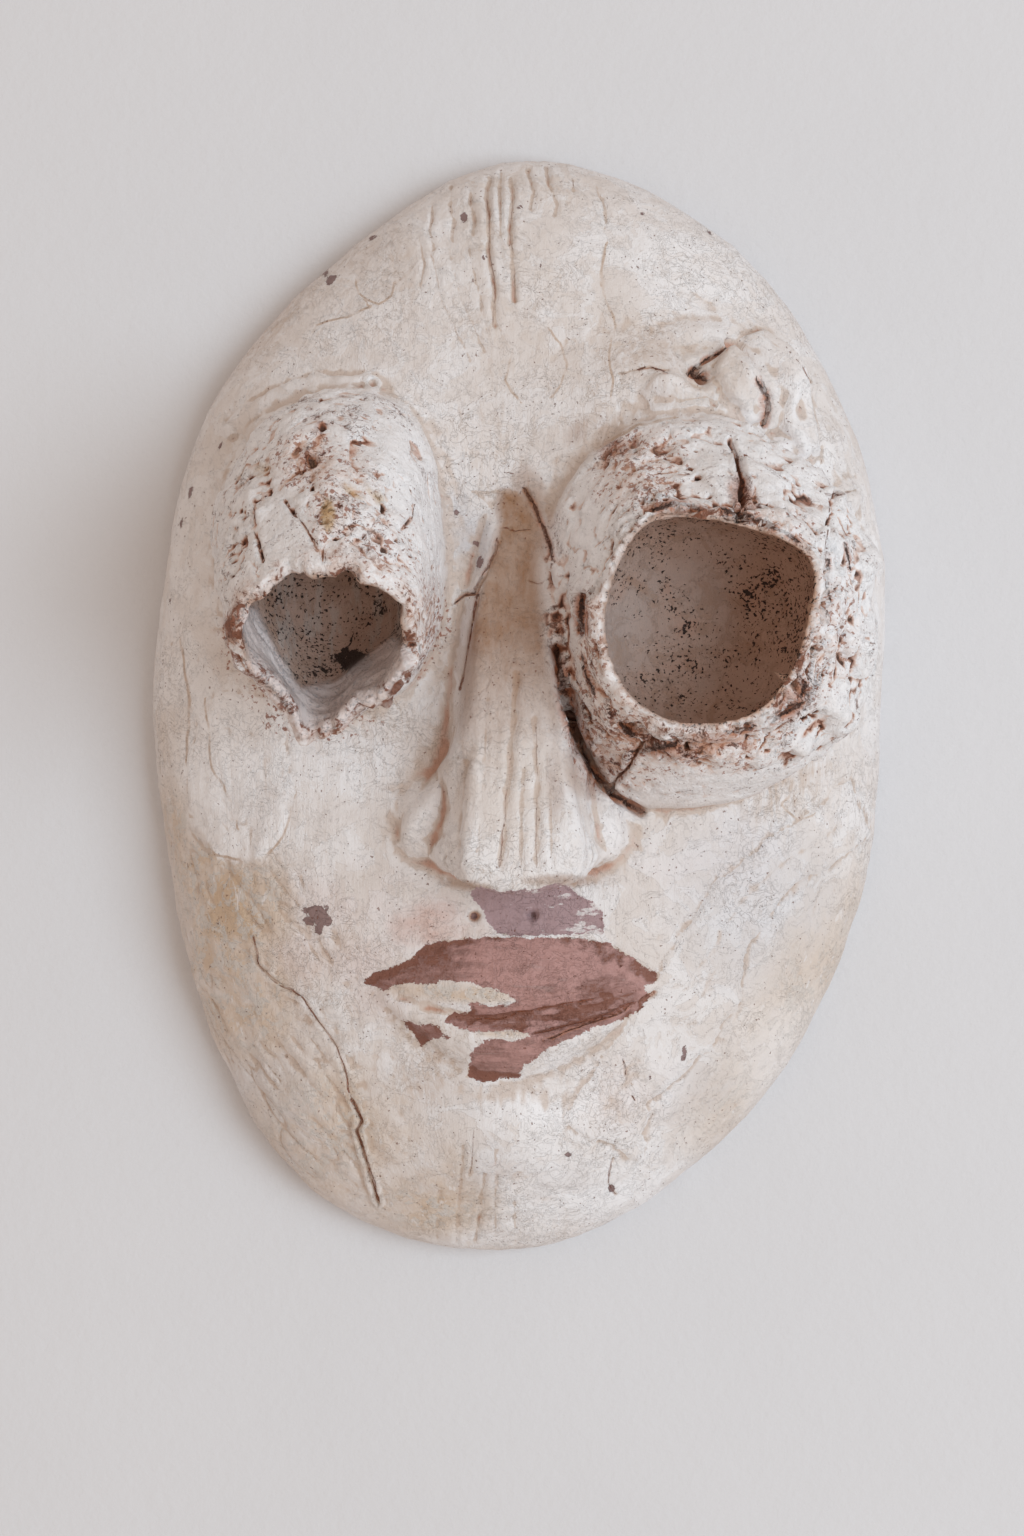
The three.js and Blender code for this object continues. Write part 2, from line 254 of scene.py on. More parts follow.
# %% [markdown]
# The face is one slab. The square grid is bent into a disc, stretched to the oval and lifted to the face's
# height. The hollow back is a tube that closes towards its top, like the inside of a bowl.

# %% Face and hollow
def over_oval(u, v):
    """The grid's places over the oval, on the face's surface."""
    half_width, half_length = OUTLINE[0], OUTLINE[4]
    x = half_width * u * np.sqrt(1 - v**2 / 2)
    y = half_length * v * np.sqrt(1 - u**2 / 2)
    share = np.hypot(x / half_width, y / half_length)
    oval_radius = np.hypot(x, y) / np.maximum(share, 1e-9)
    stretch = radius_at(OUTLINE, np.arctan2(y, x)) / np.maximum(oval_radius, 1e-9)
    grow = (1 + (stretch - 1) * share**2) * (1.3 - 0.3 * share**2)
    grow = np.where(share < 1e-6, 1, grow)
    x, y = x * grow, y * grow
    return np.stack([x, y, face_height(x, y)], axis=1)


def hollow_ring(share, angle):
    """The bowl of the back, whose wall runs down below the rim."""
    height = np.clip(share * 1.1 - 0.1, -0.1, 1)
    reach = (1 - np.clip(height, 0, 1) ** (1 / DOME_FALL)) ** (1 / DOME_POWER)
    radius = np.maximum(reach, 0.02) * (radius_at(OUTLINE, angle) - WALL)
    zero = np.zeros_like(share)
    return (zero, zero, np.where(height < 0, height * 40, height * (CROWN - WALL))), zero, radius


face = slab("face", 130, 190, over_oval, 0.0)
hollow = tube("hollow", 160, 46, hollow_ring)
print("face grid:", len(face.data.polygons), "faces")

# %% [markdown]
# The nose is a wedge that widens and rises down the face, with a flat front between two edges and a softly
# leaning flank on each side. Two ellipsoids give its low wings.

# %% Nose
FLANK = 0.5


def over_nose(u, v):
    """The grid's places over the nose, from its root at v = 1 to its tip at v = -1."""
    rows = np.array(NOSE, float)[::-1]
    head, tip = NOSE[0][0], NOSE[-1][0]
    station = tip + (head - tip) * (v + 1) / 2
    columns = (np.interp(station, rows[:, 0], rows[:, number]) for number in range(1, 6))
    left_foot, left, right, right_foot, rise = columns
    side = np.clip((np.abs(u) - FLANK) / (1 - FLANK), 0, 1)
    foot = np.where(u < 0, left_foot, right_foot)
    edge = np.where(u < 0, left, right)
    x = np.where(side > 0, edge + (foot - edge) * side, left + (right - left) * (u + FLANK) / (2 * FLANK))
    bow = NOSE_BOW * (x / 20) ** 2 * np.clip((10 - station) / (10 - tip), 0, 1) ** 2
    turn = np.clip((np.abs(u) - NOSE_SHOULDER) / (1 - NOSE_SHOULDER), 0, 1)
    crest = rise * (1 - turn**2 * (3 - 2 * turn)) - 1.5 * side
    return np.stack([x, station + bow, face_height(x, np.minimum(station + bow, head)) + crest], axis=1)


nose = slab("nose", 60, 90, over_nose, 30.0, shift=NOSE_UNDERCUT * 0.6)


def wing(number, row):
    """An ellipsoid by its middle and its half sizes."""
    bm = bmesh.new()
    bmesh.ops.create_icosphere(bm, subdivisions=4, radius=1, matrix=Matrix.Diagonal((*row[3:], 1)))
    bmesh.ops.translate(bm, verts=bm.verts, vec=row[:3])
    mesh = bpy.data.meshes.new(f"wing_{number}")
    bm.to_mesh(mesh)
    bm.free()
    piece = bpy.data.objects.new(mesh.name, mesh)
    bpy.context.scene.collection.objects.link(piece)
    return piece


wings = [wing(number, row) for number, row in enumerate(NOSTRIL_WINGS)]
print("nose grid:", len(nose.data.polygons), "faces")

# %% [markdown]
# Each eye is an outer tube, joined to the face, and an inner tube that is cut out of it and leaves a cup.
# The outlines change from the foot's to the mouth's on the way up, and the snout's rings lean as it points
# down.

# %% Eyes
def crater_outside(share, angle):
    height, blend, size = between(CRATER_OUTSIDE, share * (len(CRATER_OUTSIDE) - 1)).T
    centre = CRATER_FOOT_AT[:, None] * (1 - blend) + CRATER_MOUTH_AT[:, None] * blend
    foot, mouth = radius_at(CRATER_FOOT, angle), radius_at(CRATER_MOUTH, angle) + CRATER_LIP
    return (*centre, height), np.zeros_like(share), (foot * (1 - blend) + mouth * blend) * size


def crater_inside(share, angle):
    height, size = between(CRATER_INSIDE, share * (len(CRATER_INSIDE) - 1)).T
    x, y = CRATER_MOUTH_AT[:, None] + np.zeros_like(share)
    return (x, y, height), np.zeros_like(share), radius_at(CRATER_MOUTH, angle) * size


def snout_outside(share, angle):
    x, y, height, tilt, blend = between(SNOUT_OUTSIDE, share * (len(SNOUT_OUTSIDE) - 1)).T
    radius = radius_at(SNOUT_FOOT, angle) * (1 - blend) + radius_at(SNOUT_MOUTH, angle) * blend
    return (x, y, height), tilt, radius


def snout_inside(share, angle):
    x, y, height, tilt, size = between(SNOUT_INSIDE, share * (len(SNOUT_INSIDE) - 1)).T
    return (x, y, height), tilt, (radius_at(SNOUT_MOUTH, angle) - SNOUT_LIP) * size


crater = tube("crater", 140, 50, crater_outside)
crater_cup = tube("crater_cup", 120, 40, crater_inside)
snout = tube("snout", 120, 50, snout_outside)
snout_cup = tube("snout_cup", 110, 40, snout_inside)
print("crater:", len(crater.data.polygons), "faces, snout:", len(snout.data.polygons), "faces")

# %% [markdown]
# Boolean modifiers join what the sculptor joined and cut out what is hollow. Then a voxel remesh gives the
# whole skin an even net of small faces, which is what carving by numbers needs.

# %% One skin of plaster
VOXEL = 0.75


def boolean(piece, other, operation):
    """Join the other piece to this one, or cut it out."""
    modifier = piece.modifiers.new(other.name, "BOOLEAN")
    modifier.object = other
    modifier.operation = operation
    modifier.solver = "MANIFOLD"


def baked(piece, name):
    """A new mesh with the piece's modifiers applied."""
    bpy.context.view_layer.update()
    graph = bpy.context.evaluated_depsgraph_get()
    mesh = bpy.data.meshes.new_from_object(piece.evaluated_get(graph), depsgraph=graph)
    mesh.name = name
    return mesh


for part in (nose, *wings, crater, snout):
    boolean(face, part, "UNION")
for part in (hollow, crater_cup, snout_cup):
    boolean(face, part, "DIFFERENCE")
remesh = face.modifiers.new("skin", "REMESH")
remesh.mode = "VOXEL"
remesh.voxel_size = VOXEL
skin = baked(face, "mask_plaster")
for part in (face, nose, *wings, crater, snout, hollow, crater_cup, snout_cup):
    bpy.data.objects.remove(part)
mask = bpy.data.objects.new("mask_plaster", skin)
bpy.context.scene.collection.objects.link(mask)
print("skin:", len(skin.vertices), "points")

# %% [markdown]
# The rest is carving. Plaster isn't smooth: it has lumps from the hand, strokes from the brush and pits
# from trapped air. All of these start from one random function, which gives every point in space a smooth
# value that never changes, so the mask comes out the same each time. Adding it up at smaller and smaller
# sizes gives a rough surface, and folding it over gives the worm-like furrows of plaster pressed on with
# the fingers.

# %% Random values in space
def noise(points, size, seed):
    """A smooth value from -1 to 1 for each point, with lumps of the given size."""
    cell = points / size + 4096
    whole = np.floor(cell).astype(np.uint32)
    part = (cell - whole).astype(np.float32)
    part = part * part * (3 - 2 * part)
    total = np.zeros(len(points), np.float32)
    for corner in product((0, 1), repeat=3):
        spot = whole + np.array(corner, np.uint32)
        mixed = spot[:, 0] * np.uint32(73856093) ^ spot[:, 1] * np.uint32(19349663)
        mixed = mixed ^ spot[:, 2] * np.uint32(83492791) ^ np.uint32(seed * 7919 + 17)
        mixed = (mixed ^ (mixed >> np.uint32(13))) * np.uint32(1274126177)
        mixed = mixed ^ (mixed >> np.uint32(16))
        value = (mixed & np.uint32(0xFFFF)).astype(np.float32) / 32768 - 1
        weight = np.prod(np.where(np.array(corner, bool), part, 1 - part), axis=1)
        total += weight * value
    return total


def rough(points, size, seed, layers=3):
    """Noise with finer and finer layers on top, still from about -1 to 1."""
    total = np.zeros(len(points), np.float32)
    for layer in range(layers):
        total += noise(points, size / 2**layer, seed + layer * 31) / 2**layer
    return total / 1.5


def furrows(points, size, seed):
    """From 0 on the lumps to 1 along winding furrows between them."""
    bent = points + size * 0.6 * np.stack([noise(points, size, seed + k) for k in (1, 2, 3)], axis=1)
    return 1 - np.clip(np.abs(noise(bent, size, seed)) * 3.2, 0, 1)


def smooth_step(value, start, end):
    """From 0 at the start to 1 at the end, without corners."""
    t = np.clip((value - start) / (end - start), 0, 1)
    return t * t * (3 - 2 * t)


print("noise in the middle of the mask:", noise(np.zeros((1, 3)), 10, 1).round(3))

# %% [markdown]
# Cracks, creases and flakes are drawn in the picture, in its own pixels, and found again on the surface:
# every point of the skin knows where the camera sees it. A line is carved by the distance to it, and a
# flake by how far inside its outline a point lies.

# %% Distances in the picture
def line_distance(spots, line, reach=60.0):
    """Distance in pixels from each spot to a line of points; far spots get the reach."""
    line = np.asarray(line, float)
    result = np.full(len(spots), reach)
    near = np.all((spots > line.min(0) - reach) & (spots < line.max(0) + reach), axis=1)
    some = spots[near]
    best = np.full(len(some), reach)
    for start, end in zip(line[:-1], line[1:]):
        way = end - start
        share = np.clip((some - start) @ way / max(way @ way, 1e-9), 0, 1)
        best = np.minimum(best, np.hypot(*(some - start - share[:, None] * way).T))
    result[near] = best
    return result


def inside_distance(spots, outline, reach=60.0):
    """Distance in pixels to a closed outline: positive inside and negative outside."""
    outline = np.asarray(outline, float)
    distance = line_distance(spots, np.vstack([outline, outline[:1]]), reach)
    odd = np.zeros(len(spots), bool)
    x, y = spots.T
    for (ax, ay), (bx, by) in zip(outline, np.roll(outline, -1, axis=0)):
        crosses = (ay > y) != (by > y)
        odd ^= crosses & (x < (bx - ax) * (y - ay) / (by - ay + 1e-12) + ax)
    return np.where(odd, distance, -distance)


def oval_reach(spots, row):
    """Distance of each spot from an oval's middle, with 1 at its edge; the row's turn is in degrees."""
    x, y, half_x, half_y, turn = (*row, 0)[:5]
    cos, sin = math.cos(math.radians(turn)), math.sin(math.radians(turn))
    away = spots - (x, y)
    across = (away[:, 0] * cos + away[:, 1] * sin) / half_x
    along = (away[:, 1] * cos - away[:, 0] * sin) / half_y
    return np.hypot(across, along)


def blob(spots, row):
    """From 1 in the middle of a soft oval to 0 at its edge, by its middle, its half sizes and its turn."""
    return np.clip(1 - oval_reach(spots, row), 0, 1)


print("halfway out in an oval a blob has the value", blob(np.array([[5.0, 0.0]]), (0, 0, 10, 20))[0])

# %% [markdown]
# Each point also needs to know which part of the mask it is on. A point near an eye tube is given its place
# on that tube: how far up it is, at which angle, and how far out compared with the tube's wall.

# %% Where each point is
def place_on_tube(points, ring, samples=48):
    """Share of the way up, angle, and reach compared with the ring's radius, for points near a tube."""
    shares = np.linspace(0, 1, samples)
    (x, y, z), tilt, _ = ring(shares, np.zeros(samples))
    lean = np.radians(tilt)
    normal = np.stack([np.zeros(samples), -np.sin(lean), np.cos(lean)], axis=1)
    centre = np.stack([x, y, z], axis=1)
    height = points @ normal.T - (centre * normal).sum(1)
    nearest = np.abs(height).argmin(1)
    away = points - centre[nearest]
    flat_y = away[:, 1] * np.cos(lean[nearest]) + away[:, 2] * np.sin(lean[nearest])
    angle = np.arctan2(flat_y, away[:, 0])
    radius = ring(shares[nearest], angle)[2]
    return shares[nearest], angle, np.hypot(away[:, 0], flat_y) / np.maximum(radius, 1e-6)


def read_points(mesh, what="vertices", name="co"):
    """Coordinates or normals of a mesh as rows."""
    values = np.empty(len(getattr(mesh, what)) * 3, np.float32)
    getattr(mesh, what).foreach_get(name, values)
    return values.reshape(-1, 3).astype(float)


def survey(mesh):
    """The places and masks that carving and paint need, for every point of a mesh in millimetres."""
    points = read_points(mesh)
    normals = read_points(mesh, "vertex_normals", "vector")
    x, y, z = points.T
    spots = seen(points)
    angle = np.arctan2(y, x)
    inner = np.hypot(x, y) / (radius_at(OUTLINE, angle) - WALL)
    bowl = (CROWN - WALL) * (1 - np.clip(inner, 0, 1) ** DOME_POWER) ** DOME_FALL
    back = ((z < bowl + 0.9) & (inner < 1.01) & (normals[:, 2] < 0.4)) | (z < 0.4)
    proud = z - face_height(x, y)
    zones = {"points": points, "normals": normals, "spots": spots, "back": back, "proud": proud}
    rings = {"crater": (crater_outside, crater_inside, CRATER_FOOT_AT, CRATER_FOOT),
             "snout": (snout_outside, snout_inside, np.array(SNOUT_OUTSIDE[0][:2]), SNOUT_FOOT)}
    for name, (outside, inside, foot_at, foot) in rings.items():
        away = np.stack([x, y], axis=1) - foot_at
        foot_reach = np.hypot(*away.T) / radius_at(foot, np.arctan2(away[:, 1], away[:, 0]))
        near = (foot_reach < 1.35) & (z > 28) & ~back
        share, turn, reach = (np.zeros(len(points)) for _ in range(3))
        share[near], turn[near], reach[near] = place_on_tube(points[near], outside)
        depth, _, cup_reach = place_on_tube(points[near], inside)
        cup = np.zeros(len(points), bool)
        cup[near] = ((cup_reach < 1.04) | (depth < 0.3)) & (reach[near] < 0.97) & (proud[near] > -24)
        zones[name] = {"share": share, "angle": turn, "reach": reach, "foot": foot_reach, "cup": cup}
    return zones


zones = survey(skin)
print("points on the back:", int(zones["back"].sum()), " in the cups:",
      int(zones["crater"]["cup"].sum()), int(zones["snout"]["cup"].sum()))

# %% [markdown]
# Where a tube meets the face, the sculptor's fingers left a soft fillet, except under the right eye, where
# the tube overhangs in a dark crevice. So the skin is smoothed there, by letting each point drift to the
# mean of its neighbours a number of times.

# %% Soft joins
def links(mesh):
    """The two ends of every edge, and how many points each point averages over."""
    ends = np.empty(len(mesh.edges) * 2, np.int32)
    mesh.edges.foreach_get("vertices", ends)
    one, other = ends.reshape(-1, 2).T
    return one, other, np.bincount(ends, minlength=len(mesh.vertices)) + 1.0


def smoothed(values, linked, rounds):
    """Columns of values, averaged with their neighbours a number of times."""
    one, other, degree = linked
    for _ in range(rounds):
        total = values.copy()
        for column in range(values.shape[1]):
            value = values[:, column]
            total[:, column] += np.bincount(one, value[other], len(values))
            total[:, column] += np.bincount(other, value[one], len(values))
        values = total / degree[:, None]
    return values


FILLET_ROUNDS = 50
# The crevice runs between these angles around the right eye
CREVICE_FROM = -2.9
CREVICE_TO = -0.7
# The feet of the nose's wings, as soft ovals in the picture
WING_FEET = [(428, 806, 64, 90), (604, 806, 46, 90)]
fillet = np.zeros(len(skin.vertices))
for name in ("crater", "snout"):
    zone = zones[name]
    join = np.exp(-(((zone["foot"] - 1.03) / 0.11) ** 2)) * (zone["foot"] > 0)
    if name == "crater":
        around = smooth_step(zone["angle"], CREVICE_FROM, CREVICE_FROM + 0.5)
        around *= 1 - smooth_step(zone["angle"], CREVICE_TO - 0.4, CREVICE_TO)
        join *= 1 - 0.9 * around
    fillet = np.maximum(fillet, join)
for row in WING_FEET:
    soft = blob(zones["spots"], row)
    fillet = np.maximum(fillet, 0.8 * smooth_step(soft, 0, 0.5) * (zones["proud"] < 16))
fillet[zones["back"] | zones["crater"]["cup"] | zones["snout"]["cup"]] = 0
points = zones["points"]
points = points + fillet[:, None] * (smoothed(points, links(skin), FILLET_ROUNDS) - points)
skin.vertices.foreach_set("co", points.astype(np.float32).ravel())
skin.update()
zones = survey(skin)
print("points moved by the fillets:", int((fillet > 0.05).sum()))

# %% [markdown]
# Now the carving itself. Nothing moves yet: each step adds to a list that says how far every point will be
# pushed out along its normal, in millimetres. The back and the flat rim underneath stay nearly plain, since
# nobody works on what lies against a wall. A hand-drawn line is never even, so the lines wander a little
# and change their depth on the way.

# %% The list of pushes
front = ~zones["back"]
points, spots, proud = zones["points"], zones["spots"], zones["proud"]
facing = front & (zones["normals"][:, 2] > 0.1)
push = np.zeros(len(points))
wander = spots + 2.0 * np.stack([rough(points, 6, 11, 2), rough(points, 6, 12, 2)], axis=1)
uneven = np.clip(0.75 + 0.8 * rough(points, 6, 13, 2), 0.1, 1.4)


def tube_weight(zone):
    """1 on a tube and 0 on the face around its foot."""
    return smooth_step(zone["foot"], 1.12, 1.0) * (zone["foot"] > 0) * smooth_step(proud, 1, 13)


def groove(line, width, depth, where=facing, ridge=0.0):
    """Carve along a line of the picture; a ridge stands up on both sides like pushed-up plaster."""
    away = line_distance(wander, line) / width
    profile = np.exp(-away**2) * depth - ridge * np.exp(-((away - 1.9) ** 2))
    push[where] -= (profile * uneven)[where]


def dent(row, depth, where=facing):
    """Carve a soft oval; a negative depth raises it."""
    inside = blob(wander, row)
    push[where] -= (depth * inside**2 * (3 - 2 * inside))[where]


print("points that can be carved:", int(facing.sum()))

# %% [markdown]
# First the surface that is everywhere: broad lumps from the hands, brush strokes, and thin coats of plaster
# laid over one another, whose torn edges show as small steps. The strokes run down the forehead and along
# the rim.

# %% Lumps, strokes and coats
# Each row: size of a coat's patches, level of their edges, rise, seed
COATS = [(26, 0.12, 0.16, 5), (17, 0.22, 0.12, 6), (34, -0.1, 0.14, 7)]
# The hollow between the brows, as a soft oval in the picture
BROW_HOLLOW = (505, 410, 110, 130)
on_crater = tube_weight(zones["crater"])
on_snout = tube_weight(zones["snout"])
on_tube = np.maximum(on_crater, on_snout)
in_cup = zones["crater"]["cup"] | zones["snout"]["cup"]
on_face = front * (1 - on_tube) * (points[:, 2] > 2)
turn = np.arctan2(points[:, 1], points[:, 0])
edge_share = np.hypot(*points.T[:2]) / radius_at(OUTLINE, turn)
to_rim = smooth_step(edge_share, 0.72, 0.9)

push += on_face * (0.6 * rough(points, 28, 1) + 0.3 * rough(points, 9, 2))
lean = points[:, 0] + 0.25 * np.clip(90 - points[:, 1], 0, 40) * np.sign(points[:, 0] + 5)
down = np.stack([lean, points[:, 1] * 0.16, points[:, 2]], axis=1)
around = np.stack([turn * 20, edge_share * 110, points[:, 2]], axis=1)
strokes = rough(down, 2.4, 3) * (1 - to_rim) + rough(around, 2.4, 4) * to_rim
push += 0.22 * on_face * strokes
for size, level, step, seed in COATS:
    coat = rough(points, size, seed, 4)
    push += on_face * step * smooth_step(coat, level, level + 0.06)
dent(BROW_HOLLOW, 2.0, where=facing & (proud < 4))
print("strokes from", strokes.min().round(2), "to", strokes.max().round(2))

# %% [markdown]
# The forehead has creases that were drawn with a tool, each with a pushed-up edge, and the brow over the
# right eye is folded like wet cloth. Its creases are lines too, with lumps between them.

# %% Lines of the forehead and brow
# Each row: half-width in pixels, depth in millimetres, points in the picture
FOREHEAD = [(2.8, 0.8, [(452, 188), (450, 205), (453, 222), (452, 240)]),
            (2.8, 1.0, [(472, 184), (470, 202), (474, 222), (473, 236)]),
            (3.2, 1.2, [(489, 178), (487, 200), (490, 228), (489, 252), (495, 285), (494, 325)]),
            (3.2, 1.1, [(511, 180), (513, 205), (510, 232), (514, 262), (515, 300)]),
            (2.6, 0.9, [(529, 172), (532, 190), (531, 210)]),
            (2.6, 0.9, [(547, 168), (549, 184), (556, 202), (554, 216)]),
            (2.2, 0.5, [(573, 180), (574, 190)]), (2.2, 0.4, [(596, 184), (604, 204), (606, 228)]),
            (2.4, 0.8, [(501, 174), (500, 200), (502, 236)]),
            (2.2, 0.6, [(433, 205), (430, 232), (434, 250)]),
            (2.0, 0.4, [(419, 235), (424, 262), (421, 290)]),
            (2.0, 0.5, [(470, 250), (480, 300), (486, 330)]),
            (2.0, 0.3, [(604, 245), (601, 272), (604, 294), (614, 318)]),
            (2.2, 0.3, [(430, 250), (446, 310), (470, 360)]),
            (2.2, 0.3, [(445, 240), (462, 300), (484, 350)])]
BROW = [(1.6, 1.0, [(620, 374), (638, 369), (650, 367), (658, 370), (667, 372)]),
        (3.0, 2.8, [(690, 374), (696, 366), (706, 359), (718, 354), (724, 350)]),
        (8.0, 3.6, [(734, 342), (745, 357), (757, 377), (765, 393), (768, 402)]),
        (4.0, 4.4, [(758, 380), (767, 396), (768, 408), (764, 424)]),
        (1.8, 1.2, [(826, 493), (838, 495), (850, 492)]),
        (1.6, 0.8, [(786, 345), (800, 364), (806, 374), (811, 381)]),
        (2.5, 0.8, [(770, 430), (790, 442), (812, 462)]),
        (2.2, 0.8, [(678, 405), (692, 402), (706, 398), (716, 404)]),
        (2.0, 0.7, [(706, 378), (718, 376), (719, 388), (712, 396)])]
# Each row: middle, half sizes, turn, depth; a negative depth is a lump
BROW_FORMS = [(699, 373, 16, 10, 42, 7.0), (738, 382, 24, 42, -25, -4.4), (665, 386, 28, 20, 0, -3.0),
              (690, 398, 28, 15, 8, -1.8), (787, 376, 17, 56, -24, -3.8), (795, 440, 28, 38, 0, -2.6),
              (640, 402, 48, 20, -20, 1.4), (729, 340, 3, 3, 0, 1.6), (700, 334, 50, 18, 0, -1.8),
              (605, 432, 36, 20, -35, 1.6), (712, 392, 13, 11, 0, -1.8), (830, 440, 20, 40, -20, -1.6),
              (770, 436, 14, 16, 0, 1.6)]
print("creases:", len(FOREHEAD), "on the forehead and", len(BROW), "on the brow")

# %% [markdown]
# Three folds of the brow have a clear edge all round, so they are raised as whole outlines, and the rest of
# the swelling is lumps and dents. Then the lines are carved.

# %% Folds of the brow
# Outlines in the picture
LOBE = [(712, 372), (722, 358), (734, 350), (745, 360), (757, 378), (765, 398), (760, 420), (748, 426),
        (735, 410), (722, 396)]
OUTER_FOLD = [(744, 338), (758, 350), (773, 372), (782, 396), (779, 428), (796, 462), (818, 455),
              (808, 410), (796, 380), (782, 354), (762, 332)]
INNER_FOLD = [(640, 392), (655, 378), (680, 378), (694, 388), (712, 392), (708, 408), (680, 412),
              (652, 412)]
# Each row: outline, rise in millimetres
BROW_FOLDS = [(LOBE, 2.4), (OUTER_FOLD, 2.2), (INNER_FOLD, 1.0)]
off_nose = facing & (proud < 6)
for outline, height in BROW_FOLDS:
    inside = inside_distance(spots, outline) + 2 * rough(points, 7, 18, 2)
    push += off_nose * height * smooth_step(inside, -2, 4) * (1 - 0.5 * smooth_step(inside, 4, 14))
for width, depth, line in FOREHEAD:
    groove(line, width, depth, ridge=0.35 * depth)
for width, depth, line in BROW:
    groove(line, width, depth, where=off_nose, ridge=0.2 * depth)
for *row, depth in BROW_FORMS:
    dent(row, depth, where=off_nose)
print("brow from", push[off_nose].min().round(2), "to", push[off_nose].max().round(2), "mm")

# %% [markdown]
# The left cheek has one long crack with pushed-up edges. On both cheeks a later coat of plaster ends in a
# raised, torn edge. Below it on the left, the face has weathered down to the rough plaster, with slanting
# wrinkles, and on the chin the wet plaster has run down in drips.

# %% Cheeks and chin
CHEEK_CRACK = [(254, 936), (258, 965), (273, 980), (302, 997), (322, 1025), (336, 1045), (346, 1072),
               (352, 1101), (362, 1121), (357, 1130), (369, 1168), (379, 1201)]
CHIN = [(2.2, 0.5, [(474, 1131), (470, 1174)]), (2.4, 0.5, [(463, 1147), (457, 1240)]),
        (2.4, 0.6, [(485, 1174), (475, 1243)]), (2.0, 0.4, [(497, 1150), (495, 1235)]),
        (2.0, 0.4, [(440, 1190), (437, 1238)]), (2.0, 0.4, [(515, 1200), (515, 1240)]),
        (1.6, 0.5, [(612, 1158), (608, 1182), (615, 1193)])]
# Coats of plaster with a raised, torn edge, as outlines in the picture
LEFT_COAT = [(193, 826), (216, 856), (240, 862), (263, 861), (283, 839), (296, 793), (280, 700),
             (215, 690), (185, 760)]
RIGHT_COAT = [(870, 835), (830, 868), (800, 880), (770, 912), (750, 940), (744, 970), (740, 1000),
              (722, 1028), (710, 1050), (675, 1076), (650, 1100), (640, 1160), (560, 1120), (640, 1000),
              (720, 880), (850, 780)]
# Soft ovals in the picture
WEATHERED = (262, 1010, 150, 250, -28)
LUMPY_CHIN = (478, 1180, 70, 90)
groove(CHEEK_CRACK, 1.8, 0.35, ridge=0.5)
groove(CHEEK_CRACK[-5:], 2.2, 0.5, ridge=0.6)
for width, depth, line in CHIN:
    groove(line, width, depth, ridge=0.3 * depth)
for outline, height in ((LEFT_COAT, 0.35), (RIGHT_COAT, 0.6)):
    ragged = inside_distance(spots, outline) + 7 * rough(points, 6, 8)
    push += on_face * height * smooth_step(ragged, 0, 2.5) * (1 - smooth_step(ragged, 14, 34))
weathered = smooth_step(blob(spots, WEATHERED), 0, 0.4) * on_face
x, y, z = points.T
slanted = np.stack([x + 0.8 * y, (y - 0.8 * x) * 0.25, z], axis=1)
wrinkled = furrows(slanted, 4.6, 71) * smooth_step(noise(points, 16, 72), -0.3, 0.2)
push += weathered * (0.6 * rough(points, 7, 70) - 0.6 * wrinkled)
push += on_face * smooth_step(blob(spots, LUMPY_CHIN), 0, 0.5) * 0.7 * rough(points, 6, 73, 2)
print("deepest so far:", push.min().round(2), "mm")

# %% [markdown]
# The nose was fluted with a rounded tool, and dried cracks follow its left flank. A shallow step marks
# where the forehead's last coat ends above the bridge, and a deep crack parts the nose from the right eye.

# %% Nose
FLUTES = [(4.6, 0.65, [(516, 675), (513, 727), (507, 790), (500, 868)]),
          (4.0, 0.5, [(534, 720), (538, 783), (536, 868)]), (2.6, 0.35, [(523, 770), (521, 880)]),
          (2.6, 0.35, [(549, 770), (552, 868)]), (3.4, 0.35, [(487, 700), (483, 780), (477, 850)]),
          (3.4, 0.6, [(466, 760), (460, 800), (457, 858)])]
NOSE_CRACKS = [(2.4, 1.4, [(498, 541), (495, 553), (487, 569), (478, 583), (475, 590)]),
               (1.6, 1.2, [(478, 598), (476, 608), (472, 624), (469, 644), (465, 668), (461, 689)]),
               (1.5, 1.4, [(478, 595), (470, 594), (462, 596), (456, 602)]),
               (1.2, 0.4, [(500, 528), (507, 528), (515, 532), (525, 530), (531, 529)]),
               (2.6, 1.8, [(525, 490), (535, 506), (539, 519), (545, 531), (550, 545), (552, 557)]),
               (4.5, 4.0, [(557, 650), (562, 680), (567, 706), (574, 735)]),
               (1.2, 0.5, [(529, 581), (538, 584), (549, 578)])]
BRIDGE = [(466, 489), (483, 488), (509, 487), (527, 490), (540, 519), (550, 545), (552, 620), (505, 620),
          (499, 541), (498, 523), (485, 504)]
SIDE_PATCH = [(438, 492), (450, 496), (456, 509), (467, 519), (476, 527), (477, 545), (462, 590),
              (440, 570)]
# Each row: rise in millimetres, outline of a low wing of the nose
LOW_WINGS = [(2.6, [(472, 700), (448, 752), (418, 796), (400, 824), (394, 846), (408, 860), (438, 868),
                    (466, 878), (500, 884), (500, 700)]),
             (2.0, [(584, 740), (606, 790), (624, 816), (628, 842), (614, 862), (586, 872), (560, 878),
                    (540, 800)])]
# The steps down from the forehead's last coat start at this height and fade out below it
STEP_TOP = 489
